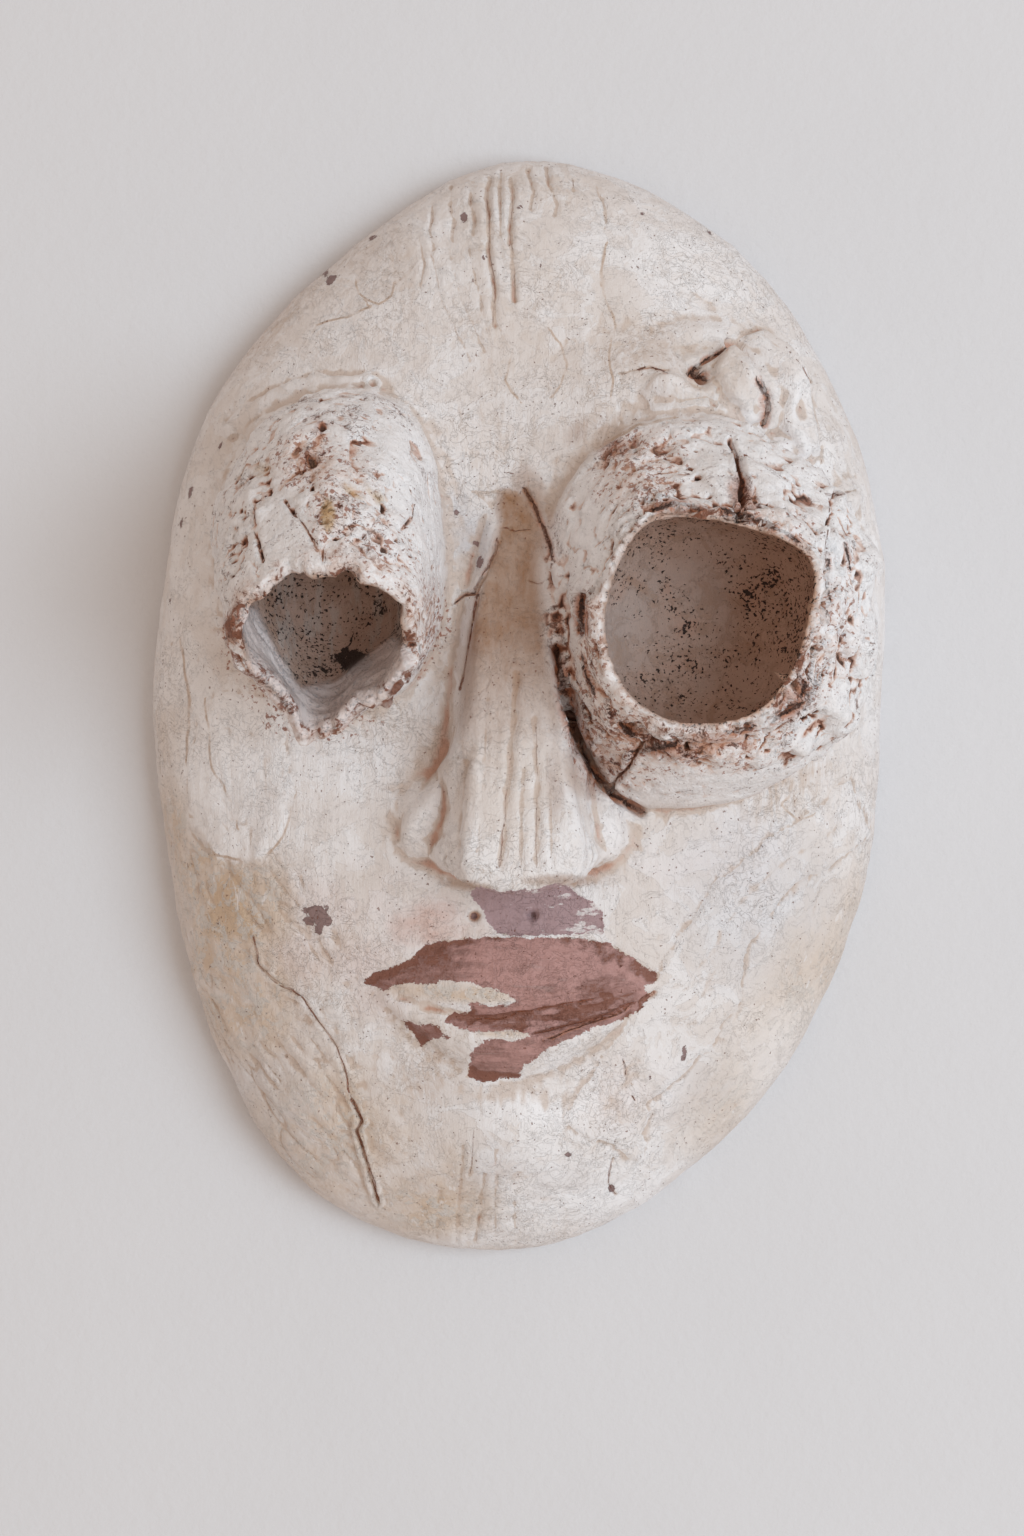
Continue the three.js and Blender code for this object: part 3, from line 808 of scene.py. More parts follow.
# Each row: outline, depth in millimetres, pixels over which it fades
STEPS = [(BRIDGE, 0.5, 60), (SIDE_PATCH, 0.4, 40)]
for width, depth, line in FLUTES:
    groove(line, width, depth, where=facing & (proud > 8), ridge=0.35 * depth)
for width, depth, line in NOSE_CRACKS:
    groove(line, width, depth, where=facing & (on_tube < 0.5))
for rise, outline in LOW_WINGS:
    inside = inside_distance(spots, outline) + 3 * rough(points, 9, 15, 2)
    raised = smooth_step(inside, -3, 16) * (1 - 0.6 * smooth_step(inside, 14, 34))
    push += facing * rise * raised * (1 - smooth_step(proud, 14, 20))
for outline, depth, fade in STEPS:
    ragged = inside_distance(spots, outline) + 1.6 * rough(points, 3, 9)
    fading = 1 - smooth_step(spots[:, 1], STEP_TOP, STEP_TOP + fade)
    push -= facing * (on_tube < 0.5) * depth * smooth_step(ragged, 0, 2.0) * fading
print("flutes:", len(FLUTES), " cracks beside the nose:", len(NOSE_CRACKS))

# %% [markdown]
# The lips were painted before the last white coat went on, and that coat has flaked off them. So the
# coloured patches lie a little lower than the white around them, with crisp edges. Two pits sit above the
# upper lip.

# %% Mouth
MOUTH = [(364, 984), (374, 974), (391, 968), (409, 961), (425, 946), (442, 941), (464, 939), (493, 937),
         (534, 938), (564, 936), (591, 940), (611, 944), (630, 955), (640, 962), (656, 972), (657, 980),
         (645, 987), (650, 995), (642, 1008), (621, 1020), (595, 1028), (570, 1038), (550, 1046),
         (534, 1061), (522, 1067), (519, 1077), (501, 1077), (485, 1082), (466, 1077), (471, 1061),
         (470, 1053), (480, 1044), (493, 1039), (517, 1041), (531, 1036), (513, 1030), (476, 1032),
         (452, 1026), (445, 1022), (452, 1013), (472, 1012), (469, 1001), (489, 1008), (509, 1006),
         (521, 1001), (497, 989), (464, 981), (442, 981), (421, 985), (405, 982), (387, 989)]
MOUTH_SPOT = [(401, 1020), (413, 1022), (432, 1023), (440, 1031), (451, 1038), (434, 1041), (421, 1045),
              (415, 1036), (407, 1026)]
LILAC = [(469, 894), (478, 887), (501, 892), (524, 891), (542, 887), (556, 883), (570, 888), (579, 897),
         (592, 903), (602, 912), (603, 933), (570, 935), (501, 936), (487, 923), (482, 910), (473, 899)]
PARTING = [(654, 992), (640, 1001), (625, 1006), (595, 1018), (564, 1026), (534, 1034)]
SECOND_CREASE = [(483, 1020), (523, 1015), (570, 1006), (611, 995)]
CREASED = [(450, 1030), (470, 1012), (530, 1003), (600, 988), (656, 980), (645, 1008), (595, 1024),
           (540, 1038)]
LIP_PITS = [(474, 916), (533, 915)]
PIT_SIZE = 9
PIT_RIM = 16
PIT_RIDGE = [(484, 924), (490, 932), (500, 934)]
on_lips = inside_distance(spots, MOUTH)
flake = np.maximum.reduce([on_lips, inside_distance(spots, MOUTH_SPOT), inside_distance(spots, LILAC)])
push -= facing * 0.4 * smooth_step(flake + 1.2 * rough(points, 2.5, 10), -0.8, 1.2)
push += facing * 0.25 * smooth_step(on_lips, 0, 6) * rough(points * (0.2, 1, 1), 2.2, 14)
creased = smooth_step(inside_distance(spots, CREASED), 0, 6) * facing
push -= creased * 0.5 * furrows(points * (0.12, 1, 1) + (0, 0.04, 0) * points[:, :1] ** 2 * 0.1, 2.6, 17)
groove(PARTING, 2.6, 1.6)
groove(SECOND_CREASE, 2.2, 0.8)
for spot in LIP_PITS:
    dent((*spot, PIT_SIZE, PIT_SIZE), 3.2)
    dent((*spot, PIT_RIM, PIT_RIM), -0.5)
groove(PIT_RIDGE, 1.8, -0.7)
print("points on the lips:", int((on_lips > 0).sum()))

# %% [markdown]
# The eye tubes are the roughest places. Their plaster was pressed on in lumps and left, so it has strings,
# holes and torn edges, more of them near the rim. The cups inside are nearly smooth.

# %% Holes and leaves
def holes(points, size, seed, share):
    """From 0 to 1 in scattered round holes; a larger share gives more of them."""
    value = 0.75 * noise(points, size, seed) + 0.35 * noise(points, size * 0.45, seed + 1)
    level = 0.75 - share
    return smooth_step(value, level, level + 0.2)


def snout_leaves(zone):
    """Places stretched around the snout's rim, for folds and lines that run along it."""
    return np.stack([zone["angle"] * 8, zone["share"] * 62, zone["angle"] * 0], axis=1)


print("leaves around the snout's rim:", snout_leaves(zones["snout"]).round().max(0))

# %% [markdown]
# Some places on the tubes are calmer, where a blob of plaster was pressed flat, and others are stringy.
# Each tube gets lumps, coats in three sizes, strings that run around it and holes, and each calm place
# weakens them.

# %% Rough tubes
# Calmer places, as outlines in the picture
CRATER_SMOOTH = [(618, 770), (660, 757), (740, 765), (790, 776), (740, 809), (640, 811)]
CRATER_PLATE = [(698, 452), (712, 440), (728, 446), (736, 470), (742, 500), (722, 506), (708, 490),
                (697, 474)]
SNOUT_PLATE = [(283, 500), (300, 520), (318, 545), (324, 575), (300, 582), (275, 583), (262, 560),
               (258, 530), (268, 508)]
SNOUT_LOBE = [(380, 400), (430, 470), (442, 520), (450, 600), (432, 650), (412, 655), (412, 600),
              (395, 520), (370, 440)]
LEFT_FLANK = [(560, 520), (600, 490), (640, 500), (612, 540), (600, 580), (574, 600)]
# Each row: outline, how calm it is, the distances over which its edge fades
CALM = [(CRATER_PLATE, 1, 0, 5), (LEFT_FLANK, 0.6, -6, 8), (CRATER_SMOOTH, 0.75, -4, 8),
        (SNOUT_PLATE, 1, -2, 5), (SNOUT_LOBE, 0.6, -4, 10)]
# Places where the strings of plaster stand out most, as soft ovals
STRINGY = [(830, 630, 56, 130), (770, 740, 100, 46, -20), (760, 525, 50, 24, 20)]
calm = np.zeros(len(points))
for outline, calmness, start, end in CALM:
    calm = np.maximum(calm, calmness * smooth_step(inside_distance(spots, outline), start, end))
tubes = [(zones["crater"], on_crater, 20, 1.4), (zones["snout"], on_snout, 30, 0.9)]
for zone, weight, seed, strength in tubes:
    outer = weight * front * ~zone["cup"]
    thin = 1 - 0.6 * smooth_step(zone["share"], 0.9, 0.99)
    near_top = smooth_step(zone["share"], 0.45, 0.8)
    wrapped = np.stack([zone["angle"] * 13, zone["share"] * 55, zone["reach"] * 25], axis=1)
    rise = 1.3 * rough(points, 14, seed, 2) + (0.45 + 0.45 * near_top) * rough(points, 4.6, seed + 3, 2)
    for size, level, step in ((15, 0.1, 0.8), (9, -0.05, 0.7), (6, 0.15, 0.5 * near_top)):
        plate = rough(points, size, seed + 3 + int(size), 3)
        rise += step * smooth_step(plate, level, level + 0.07)
    strings = furrows(wrapped, 4.2, seed + 5) * smooth_step(noise(points, 9, seed + 7), -0.1, 0.4)
    stringy = sum(smooth_step(blob(spots, row), 0, 0.5) for row in STRINGY)
    rise -= (0.6 + 0.9 * near_top) * strings * (1 + 0.9 * stringy)
    rise += 0.5 * stringy * rough(wrapped, 5, seed + 9, 2)
    on_right = zone is zones["crater"]
    small = 0.14 * near_top + (0.14 if on_right else 0.05)
    rise -= (0.9 + 1.2 * near_top) * holes(points, 3.0, seed + 12, small)
    rise -= 2.2 * near_top * on_right * holes(points, 6.0, seed + 14, 0.02 + 0.1 * (zone["angle"] < 0))
    push += outer * thin * strength * (1 - 0.85 * calm) * (rise - 0.4)
    push += 0.22 * zone["cup"] * rough(points, 7, seed + 16)
print("tubes carved to", push.min().round(2), "mm deep and", push.max().round(2), "mm high")

# %% [markdown]
# The snout's torn edge is a thick, lumpy band underneath, folded along the rim. Inside it, a leaf of
# plaster stands up along the lower wall of the cup.

# %% The snout's band and inner wall
INNER_WALL = [(236, 606), (257, 608), (275, 648), (300, 688), (335, 681), (396, 634), (416, 664),
              (354, 724), (300, 742), (280, 728), (258, 694)]
band = smooth_step(zones["snout"]["share"], 0.8, 0.92) * on_snout * front * ~zones["snout"]["cup"]
band *= smooth_step(-np.sin(zones["snout"]["angle"]), -0.3, 0.3)
folds = furrows(snout_leaves(zones["snout"]), 3.4, 47)
push += band * (0.9 + 1.4 * rough(points, 6, 46, 2) - 1.8 * folds)
inner_wall = smooth_step(inside_distance(spots, INNER_WALL), -3, 4) * zones["snout"]["cup"]
leaves = np.stack([zones["snout"]["angle"] * 5, zones["snout"]["share"] * 62, points[:, 0] * 0], axis=1)
push += inner_wall * (1.0 + 0.7 * rough(leaves, 2.2, 44, 2))
print("points on the band:", int((band > 0.5).sum()), " on the inner wall:", int((inner_wall > 0.5).sum()))

# %% [markdown]
# The deepest cracks, slots and bumps of the tubes are easy to tell apart in the photograph, so each is a
# row of its own. So is the fold of plaster over the snout, like a raised eyebrow that ends in a small burst
# bubble.

# %% Cracks and lumps of the eyes
CREVICE = [(557, 648), (561, 675), (567, 704), (578, 737), (588, 765), (600, 783), (616, 797), (641, 811)]
# Each row: half-width in pixels, depth in millimetres, points in the picture
EYE_CRACKS = [(3.0, 2.6, [(731, 440), (737, 460), (741, 480), (744, 506)]),
              (4.2, 3.6, [(581, 597), (582, 632)]), (2.6, 2.8, [(581, 655), (586, 678), (595, 695)]),
              (2.6, 2.4, [(636, 733), (655, 740), (676, 741)]),
              (2.0, 2.2, [(660, 742), (641, 748), (630, 765), (615, 782), (608, 794)]),
              (3.6, 2.4, [(768, 719), (784, 711), (797, 703)]), (3.0, 2.0, [(800, 690), (803, 680)]),
              (3.4, 2.2, [(663, 507), (678, 513), (694, 510)]),
              (3.4, 2.2, [(724, 515), (740, 521), (772, 526)]),
              (2.4, 2.4, [(830, 493), (826, 560), (829, 590), (826, 622)]), (4.6, 3.4, CREVICE),
              (2.2, 1.6, [(255, 500), (254, 530), (262, 560)]),
              (2.0, 1.2, [(283, 500), (300, 520), (318, 545)]),
              (2.4, 1.4, [(404, 528), (412, 518), (414, 505)]),
              (2.0, 1.0, [(322, 545), (327, 572), (322, 584)])]
# Each row: middle, half sizes, turn, depth; a negative depth is a lump
EYE_FORMS = [(628, 730, 10, 9, 0, 3.6), (596, 604, 8, 15, 0, -2.2), (734, 728, 8, 7, 0, 2.8),
             (748, 725, 8, 7, 0, 2.8), (799, 687, 8, 11, 0, 3.0), (792, 537, 8, 6, 0, 2.4),
             (676, 510, 28, 8, 0, 2.4), (736, 519, 15, 9, 20, 2.6), (310, 461, 9, 9, 0, 3.2),
             (322, 429, 7, 9, 0, 2.0), (310, 453, 4, 4, 0, -1.8), (716, 474, 24, 36, -10, -1.6),
             (846, 500, 18, 26, 20, -3.0), (862, 566, 14, 40, 0, -3.4), (860, 648, 16, 30, 0, -3.0),
             (828, 640, 13, 30, 0, -2.6), (838, 712, 22, 26, 0, -3.0), (800, 742, 26, 16, -30, -2.4),
             (340, 640, 20, 16, 30, 1.2), (222, 622, 12, 8, 0, -1.2), (425, 470, 22, 30, 20, -1.0),
             (625, 446, 24, 12, -25, 0.9), (640, 470, 22, 16, 0, -0.9), (340, 560, 24, 22, 0, -1.0),
             (300, 440, 26, 18, 0, -0.9), (375, 470, 30, 30, 0, -1.0)]
FOLD = [(230, 429), (247, 412), (278, 395), (295, 386), (319, 379), (350, 381), (368, 378)]
# Each row: how far right and down of the fold a furrow runs beside it, depth in millimetres
FOLD_SIDES = [(-4, -7, 0.3), (6, 9, 0.4)]
CRUMPLED = (300, 392, 90, 30, -12)
BUBBLE_AT = (373, 386)
BUBBLE_RADIUS = 6
outside_cups = facing & ~in_cup
for width, depth, line in EYE_CRACKS:
    groove(line, width, depth, where=outside_cups, ridge=0.2 * depth)
for *row, depth in EYE_FORMS:
    dent(row, depth, where=outside_cups)
groove(FOLD, 5.0, -1.0, where=outside_cups)
for aside, below, depth in FOLD_SIDES:
    groove([(x + aside, y + below) for x, y in FOLD], 3.0, depth, where=outside_cups)
crumpled = smooth_step(blob(spots, CRUMPLED), 0, 0.5) * outside_cups
push += crumpled * 0.7 * rough(points, 5, 77, 2)
ring = np.abs(np.hypot(*(spots - BUBBLE_AT).T) - BUBBLE_RADIUS)
push += outside_cups * 1.2 * np.exp(-((ring / 2.4) ** 2))
print("cracks of the eyes:", len(EYE_CRACKS), " bumps and dents:", len(EYE_FORMS))

# %% [markdown]
# Last the rims. They are torn, so points near the top of a tube move along its axis by an amount that
# changes around the ring. The snout's rim comes to a point at the bottom.

# %% Rims
def torn(angle, seed, teeth):
    """Depth of the notches around a rim, from 0 to 1."""
    ring = np.stack([np.cos(angle) * teeth, np.sin(angle) * teeth, angle * 0], axis=1)
    return smooth_step(rough(ring, 1.0, seed, 3), -0.1, 0.7)


SNOUT_TIP_AT = math.radians(-101)
moved = points + zones["normals"] * push[:, None]
near_rim = front * smooth_step(zones["crater"]["share"], 0.92, 1) * (zones["crater"]["foot"] > 0)
moved[:, 2] -= near_rim * (1.8 * torn(zones["crater"]["angle"], 50, 4.0) - 0.5)
near_rim = front * smooth_step(zones["snout"]["share"], 0.84, 1) * (zones["snout"]["foot"] > 0)
drop = near_rim * (4.0 * torn(zones["snout"]["angle"], 51, 3.0) - 1.0)
lean = math.radians(SNOUT_OUTSIDE[-1][3])
moved -= drop[:, None] * (0, -math.sin(lean), math.cos(lean))
turn = (zones["snout"]["angle"] - SNOUT_TIP_AT + np.pi) % math.tau - np.pi
beside_tip = np.exp(-(((np.abs(turn) - 0.5) / 0.26) ** 2))
pull = near_rim * (3.4 * np.exp(-((turn / 0.16) ** 2)) - 1.5 * beside_tip)
pull += near_rim * 1.2 * noise(np.stack([zones["snout"]["angle"] * 9, turn * 0, turn * 0], axis=1), 1.6, 52)
outward = np.stack([np.cos(zones["snout"]["angle"]), np.sin(zones["snout"]["angle"]), 0 * turn], axis=1)
moved += pull[:, None] * outward
moved = np.clip(moved, low + 0.02, high - 0.02)
flat_rim = points[:, 2] < 0.4
moved[flat_rim] = points[flat_rim]
skin.vertices.foreach_set("co", moved.astype(np.float32).ravel())
skin.update()
print("snout's rim drops by up to", drop.max().round(1), "mm")

# %% [markdown]
# The carved skin has far more faces than it needs. Decimate thins it out where it is flat, and a vertex
# group lets the back give up more of its faces than the front, so that the front keeps its fine detail.

# %% Fewer faces
FACE_LIMIT = 196000
spare = mask.vertex_groups.new(name="spare")
spare.add(np.flatnonzero(zones["back"]).tolist(), 1.0, "REPLACE")
spare.add(np.flatnonzero(front).tolist(), 0.12, "REPLACE")
thin = mask.modifiers.new("thin", "DECIMATE")
triangles = 2 * len(skin.polygons)
thin.ratio = FACE_LIMIT / triangles
thin.vertex_group = "spare"
thin.vertex_group_factor = 1.0
thin.use_collapse_triangulate = True
fine = baked(mask, "mask_plaster")
mask.modifiers.clear()
mask.vertex_groups.clear()
mask.data = fine
bpy.data.meshes.remove(skin)
skin = fine
print("thinned from", triangles, "to", len(skin.polygons), "triangles")

# %% [markdown]
# Paint and dirt follow the carving, so the thinned mesh is surveyed again. Its hollows are found by
# comparing it with a smoothed copy of itself: a point that lies below its neighbours' mean is in a hollow,
# where brown glaze has stayed and where the paint is also darkened as painted shade, and a point above it
# is on a ridge, where the white has been wiped clean.

# %% Hollows
zones = survey(skin)
points, spots, proud = zones["points"], zones["spots"], zones["proud"]
front = ~zones["back"]
linked = links(skin)


def hollow_depth(rounds):
    """How far each point lies below its neighbours' mean, in millimetres; more rounds reach further."""
    return ((smoothed(points, linked, rounds) - points) * zones["normals"]).sum(1)


fine_hollow, broad_hollow = hollow_depth(3), hollow_depth(24)
print("points in front:", int(front.sum()), " behind:", int(zones["back"].sum()))
print("hollows up to", fine_hollow.max().round(2), "and", broad_hollow.max().round(2), "mm deep")

# %% [markdown]
# Thin cracks and the tan outlines of old water stains are narrower than the mesh's edges. They are kept as
# a distance that changes its sign across the line, because its zero stays sharp between two points of the
# mesh. A second value, without a sign, says how near any line is.

# %% Thin lines
# Most of these lines are cracks; the line along the crevice between the nose and the right eye is painted
# shadow.
# Each row: half-width in pixels, darkness, points in the picture
CRACK_AND_SHADOW_LINES = [(0.7, 0.8, BROW[0][2][1:]), (1.5, 1.1, BROW[1][2]), (1.9, 1.0, BROW[3][2]),
              (0.7, 0.8, BROW[4][2]), (0.5, 0.6, BROW[5][2]), (1.3, 0.8, NOSE_CRACKS[0][2]),
              (0.9, 0.7, NOSE_CRACKS[1][2]), (0.9, 1.0, NOSE_CRACKS[2][2]), (0.6, 0.6, NOSE_CRACKS[3][2]),
              (1.6, 0.9, NOSE_CRACKS[4][2]), (2.6, 1.0, NOSE_CRACKS[5][2]), (0.5, 0.6, NOSE_CRACKS[6][2]),
              (0.7, 0.6, CHEEK_CRACK), (1.0, 0.55, CHEEK_CRACK[-5:]), (0.8, 0.4, PARTING),
              (0.5, 0.4, FOREHEAD[6][2]), (0.6, 0.35, FOREHEAD[2][2][1:]), (0.5, 0.3, FOREHEAD[3][2][1:]),
              (0.6, 0.6, CHIN[6][2]), (0.7, 0.35, FLUTES[0][2][2:]), (0.5, 0.3, FLUTES[1][2]),
              (0.5, 0.3, CHIN[0][2])]
# The first of these lines darkens the brow's deep pit: painted shade in the pit.
CRACK_AND_SHADOW_LINES += [(2.6, 1.3, [(692, 375), (703, 378)]), (0.7, 0.9, [(621, 1053), (624, 1064), (625, 1076)]),
               (0.6, 0.9, [(631, 1052), (637, 1047)]),
               (0.6, 0.8, [(625, 1087), (630, 1093), (634, 1101)]),
               (0.5, 0.6, [(572, 1075), (585, 1069)]), (0.4, 0.5, [(604, 1071), (615, 1074)]),
               (0.8, 0.9, [(544, 1041), (570, 1030), (596, 1022), (624, 1010), (651, 995)]),
               (0.7, 0.6, [(472, 1020), (500, 1018), (530, 1010), (560, 1004), (596, 1000)])]
CRACK_AND_SHADOW_LINES += [((0.4 if width > 2.4 else 0.25) * width, 0.7, line) for width, _, line in EYE_CRACKS]
print("lines that repeat a carved crack:", len(CRACK_AND_SHADOW_LINES))

# %% [markdown]
# Other lines are only dark gaps, such as those under the torn rim of the right eye, the slots on its left
# and the deep crevice, painted near black as painted shadow in the gaps, or only stains with a tan edge,
# where water dried on the plaster.

# %% Gaps and stains
# These dark gaps under the torn rim and in the slots are painted shadow in the gaps.
# Each row: half-width in pixels, darkness, points in the picture
RIM_GAPS = [(2.4, 1.4, [(657, 509), (670, 504), (684, 505), (697, 508)]),
            (2.4, 1.4, [(724, 509), (738, 514), (757, 519), (776, 528)]),
            (1.8, 1.2, [(786, 533), (797, 541)]), (2.4, 1.3, [(636, 751), (655, 748), (674, 744)]),
            (1.6, 1.2, [(727, 731), (738, 731), (752, 727)]),
            (2.4, 1.3, [(772, 720), (785, 712), (797, 705)]), (1.8, 1.2, [(801, 695), (804, 684)]),
            (3.0, 1.2, [(581, 600), (582, 630)]), (1.5, 1.2, [(582, 658), (587, 678), (594, 694)]),
            (3.0, 1.2, [(625, 728), (632, 734)]), (1.6, 1.2, [(830, 560), (828, 585), (830, 600)]),
            (1.2, 1.1, [(846, 545), (850, 570)])]
CRACK_AND_SHADOW_LINES += RIM_GAPS
# The crevice between the nose and the right eye, the darkest line of all, is painted shadow.
CRACK_AND_SHADOW_LINES += [(2.0, 1.6, CREVICE[:2]), (4.2, 2.5, CREVICE[1:4]), (2.2, 1.6, CREVICE[3:])]
# Points in the picture
STAIN_LINES = [[(356, 281), (358, 291), (368, 300), (380, 305), (392, 295), (394, 283), (407, 276),
                (416, 259)],
               [(550, 329), (560, 344), (567, 364), (562, 385), (552, 397)],
               [(606, 242), (601, 272), (603, 293), (612, 316), (616, 326), (612, 339), (610, 354),
                (612, 380), (610, 395)],
               [(319, 324), (346, 317), (370, 307)], [(500, 330), (512, 352), (505, 380), (520, 402)],
               [(799, 787), (781, 805), (799, 821), (813, 814)],
               [(193, 826), (216, 856), (263, 861), (283, 839), (296, 793)],
               [(180, 640), (190, 700), (186, 760)], [(205, 700), (212, 770), (232, 800), (238, 830)],
               [(610, 440), (640, 425), (676, 418)]]


def nearest_line(lines, spots, reach=24.0):
    """For every spot: signed and plain distance to the nearest line in half-widths, and its darkness."""
    side = np.full(len(spots), reach)
    near = np.full(len(spots), reach)
    dark = np.zeros(len(spots))
    for width, darkness, line in lines:
        line = np.asarray(line, float)
        box = np.all((spots > line.min(0) - reach) & (spots < line.max(0) + reach), axis=1)
        for start, end in zip(line[:-1], line[1:]):
            way = end - start
            away = spots[box] - start
            share = np.clip(away @ way / (way @ way), 0, 1)
            distance = np.hypot(*(away - share[:, None] * way).T) / width
            sign = np.sign(way[0] * away[:, 1] - way[1] * away[:, 0])
            closer = distance < near[box]
            chosen = np.flatnonzero(box)[closer]
            near[chosen] = distance[closer]
            side[chosen] = (sign * distance)[closer]
            dark[chosen] = darkness
    return side, near, dark


facing = front & (zones["normals"][:, 2] > 0.0)
wobble = spots + 1.6 * np.stack([noise(points, 3, 60), noise(points, 3, 61)], axis=1)
crack_side, crack_near, crack_dark = nearest_line(CRACK_AND_SHADOW_LINES, wobble)
stain_side, stain_near, _ = nearest_line([(1.4, 1.0, line) for line in STAIN_LINES], wobble)
on_crater = tube_weight(zones["crater"])
on_snout = tube_weight(zones["snout"])
in_cup = zones["crater"]["cup"] | zones["snout"]["cup"]
print("lines:", len(CRACK_AND_SHADOW_LINES), "cracks and", len(STAIN_LINES), "stains")

# %% [markdown]
# The rest of the paint is given by soft ovals and by outlines in the picture. First what has aged the
# plaster: small chips down to an older mauve coat, stains on the lips, brown glaze, yellowed wax and tan
# patches. Some of the tan patches are painted shade.

# %% Chips, stains and painted shade
# Each row: middle, half sizes and turn in the picture
CHIPS = [(464, 218, 4, 7, 0), (484, 257, 3, 3, 0), (520, 208, 3, 4, 0), (541, 265, 2, 3, 0),
         (331, 280, 7, 4, -40), (373, 238, 4, 2, -30), (643, 214, 4, 2, 20), (709, 233, 4, 2, 40),
         (457, 514, 4, 5, 0), (476, 544, 4, 4, 0), (480, 562, 4, 9, 10), (684, 1053, 3, 9, 14),
         (650, 1078, 2, 5, 10), (611, 1188, 4, 5, 0), (762, 846, 2, 2, 0), (568, 1155, 4, 3, 0),
         (325, 272, 3, 6, 30), (190, 494, 2, 6, 15), (182, 522, 2, 6, 10), (170, 600, 1, 9, 5),
         (163, 660, 1, 8, 0), (235, 451, 2, 2, 0), (220, 447, 2, 6, 20), (317, 914, 9, 9, 0),
         (308, 921, 6, 4, 20), (327, 921, 6, 5, -30), (319, 929, 5, 6, 0), (306, 910, 4, 3, 0),
         (326, 908, 3, 4, 30), (728, 340, 3, 3, 0), (474, 916, 4, 4, 0), (533, 915, 4, 4, 0)]
# Each row, here and in the next cells: middle, half sizes, turn and strength
# Darker patches on the lips; the one where the upper lip turns under on the right is painted shade.
LIP_STAINS_AND_SHADE = [(600, 985, 66, 14, -5, 0.9), (410, 970, 90, 34, -12, 1.1), (590, 994, 90, 24, -8, 0.4),
              (600, 1018, 80, 14, -20, 0.8), (430, 1032, 34, 20, 0, 1.4), (500, 1060, 60, 34, 0, 0.6)]
BROWN = [(320, 722, 90, 26, 0, 0.3), (673, 752, 60, 18, 0, 0.8), (596, 752, 22, 36, -20, 0.5),
         (552, 560, 12, 70, 0, 0.4), (560, 640, 14, 90, 0, 0.5), (497, 1168, 9, 14, 0, 0.5),
         (460, 1190, 14, 40, 0, 0.3), (309, 461, 26, 18, 0, 0.8), (320, 427, 14, 12, 0, 0.8),
         (285, 478, 30, 16, 0, 0.4), (240, 630, 26, 22, 30, 1.0), (345, 520, 18, 26, 0, 0.3),
         (400, 600, 24, 24, 0, 0.4), (420, 640, 26, 34, 40, 0.5), (640, 735, 60, 22, 0, 0.6),
         (720, 745, 70, 24, -8, 0.9), (600, 770, 44, 50, 40, 0.5), (600, 690, 16, 40, 0, 0.3),
         (790, 700, 34, 26, -40, 1.0), (690, 512, 40, 14, 0, 1.0), (745, 500, 22, 40, -20, 0.9),
         (585, 615, 8, 30, 0, 0.6), (620, 450, 30, 18, 0, 0.7), (705, 376, 14, 10, 30, 0.9),
         (765, 408, 12, 26, 0, 0.9), (690, 400, 60, 24, 0, 0.25), (352, 660, 30, 18, 0, 1.8),
         (320, 672, 34, 10, -10, 1.0), (380, 610, 16, 26, 0, 0.9), (470, 640, 14, 70, 10, 0.25),
         (590, 430, 30, 16, -30, 0.4), (700, 385, 24, 8, 0, 0.4)]
CREAM = [(232, 905, 70, 74, 0, 1.2), (205, 870, 44, 60, 0, 1.1), (235, 985, 60, 100, -28, 1.1),
         (320, 1130, 90, 90, -35, 0.8), (430, 1205, 80, 40, 0, 0.8), (380, 1130, 50, 60, 0, 0.4),
         (505, 760, 50, 120, 0, 0.25), (805, 990, 60, 150, 28, 0.6), (740, 1090, 50, 100, 42, 0.55),
         (846, 930, 30, 90, 12, 0.45), (450, 992, 80, 12, 4, 1.0), (505, 1034, 34, 5, 0, 0.8),
         (455, 1165, 24, 40, 0, 0.5), (172, 760, 20, 90, 0, 0.25), (180, 840, 24, 80, -10, 0.8)]
# Some tan patches are painted shade: along the forehead's top-left edge, beside the nose's root and left of
# the lower lip.
TAN_AND_SHADE = [(440, 1030, 60, 20, 0, 0.6), (430, 1080, 54, 34, -20, 0.9), (640, 350, 60, 44, -20, 0.7),
       (780, 785, 70, 36, -20, 1.0), (690, 790, 80, 24, 0, 0.6), (438, 520, 40, 50, 0, 0.7),
       (250, 990, 90, 130, -28, 0.3), (350, 1150, 90, 80, -30, 0.5), (430, 1200, 70, 40, 0, 0.6),
       (500, 330, 44, 60, 0, 0.35), (560, 350, 36, 60, 0, 0.3), (608, 330, 18, 80, 0, 0.45),
       (340, 250, 60, 50, -45, 0.4), (400, 270, 34, 44, 0, 0.4), (480, 260, 24, 80, 0, 0.35),
       (516, 250, 20, 70, 0, 0.35), (700, 380, 80, 44, 0, 0.5), (600, 420, 50, 40, -30, 0.5),
       (760, 400, 30, 60, 0, 0.3), (500, 430, 70, 60, 0, 0.3), (800, 800, 24, 30, 0, 0.4),
       (265, 300, 46, 120, 36, 0.9), (330, 215, 70, 40, -30, 0.7), (200, 520, 22, 120, 8, 0.1),
       (860, 560, 22, 120, 0, 0.3), (716, 478, 18, 24, 0, 0.6), (820, 420, 20, 80, -20, 0.2),
       (380, 700, 60, 60, 0, 0.15), (545, 195, 80, 24, 0, 0.35), (560, 300, 30, 70, 0, 0.2)]
print("chips:", len(CHIPS), " patches of glaze:", len(BROWN))
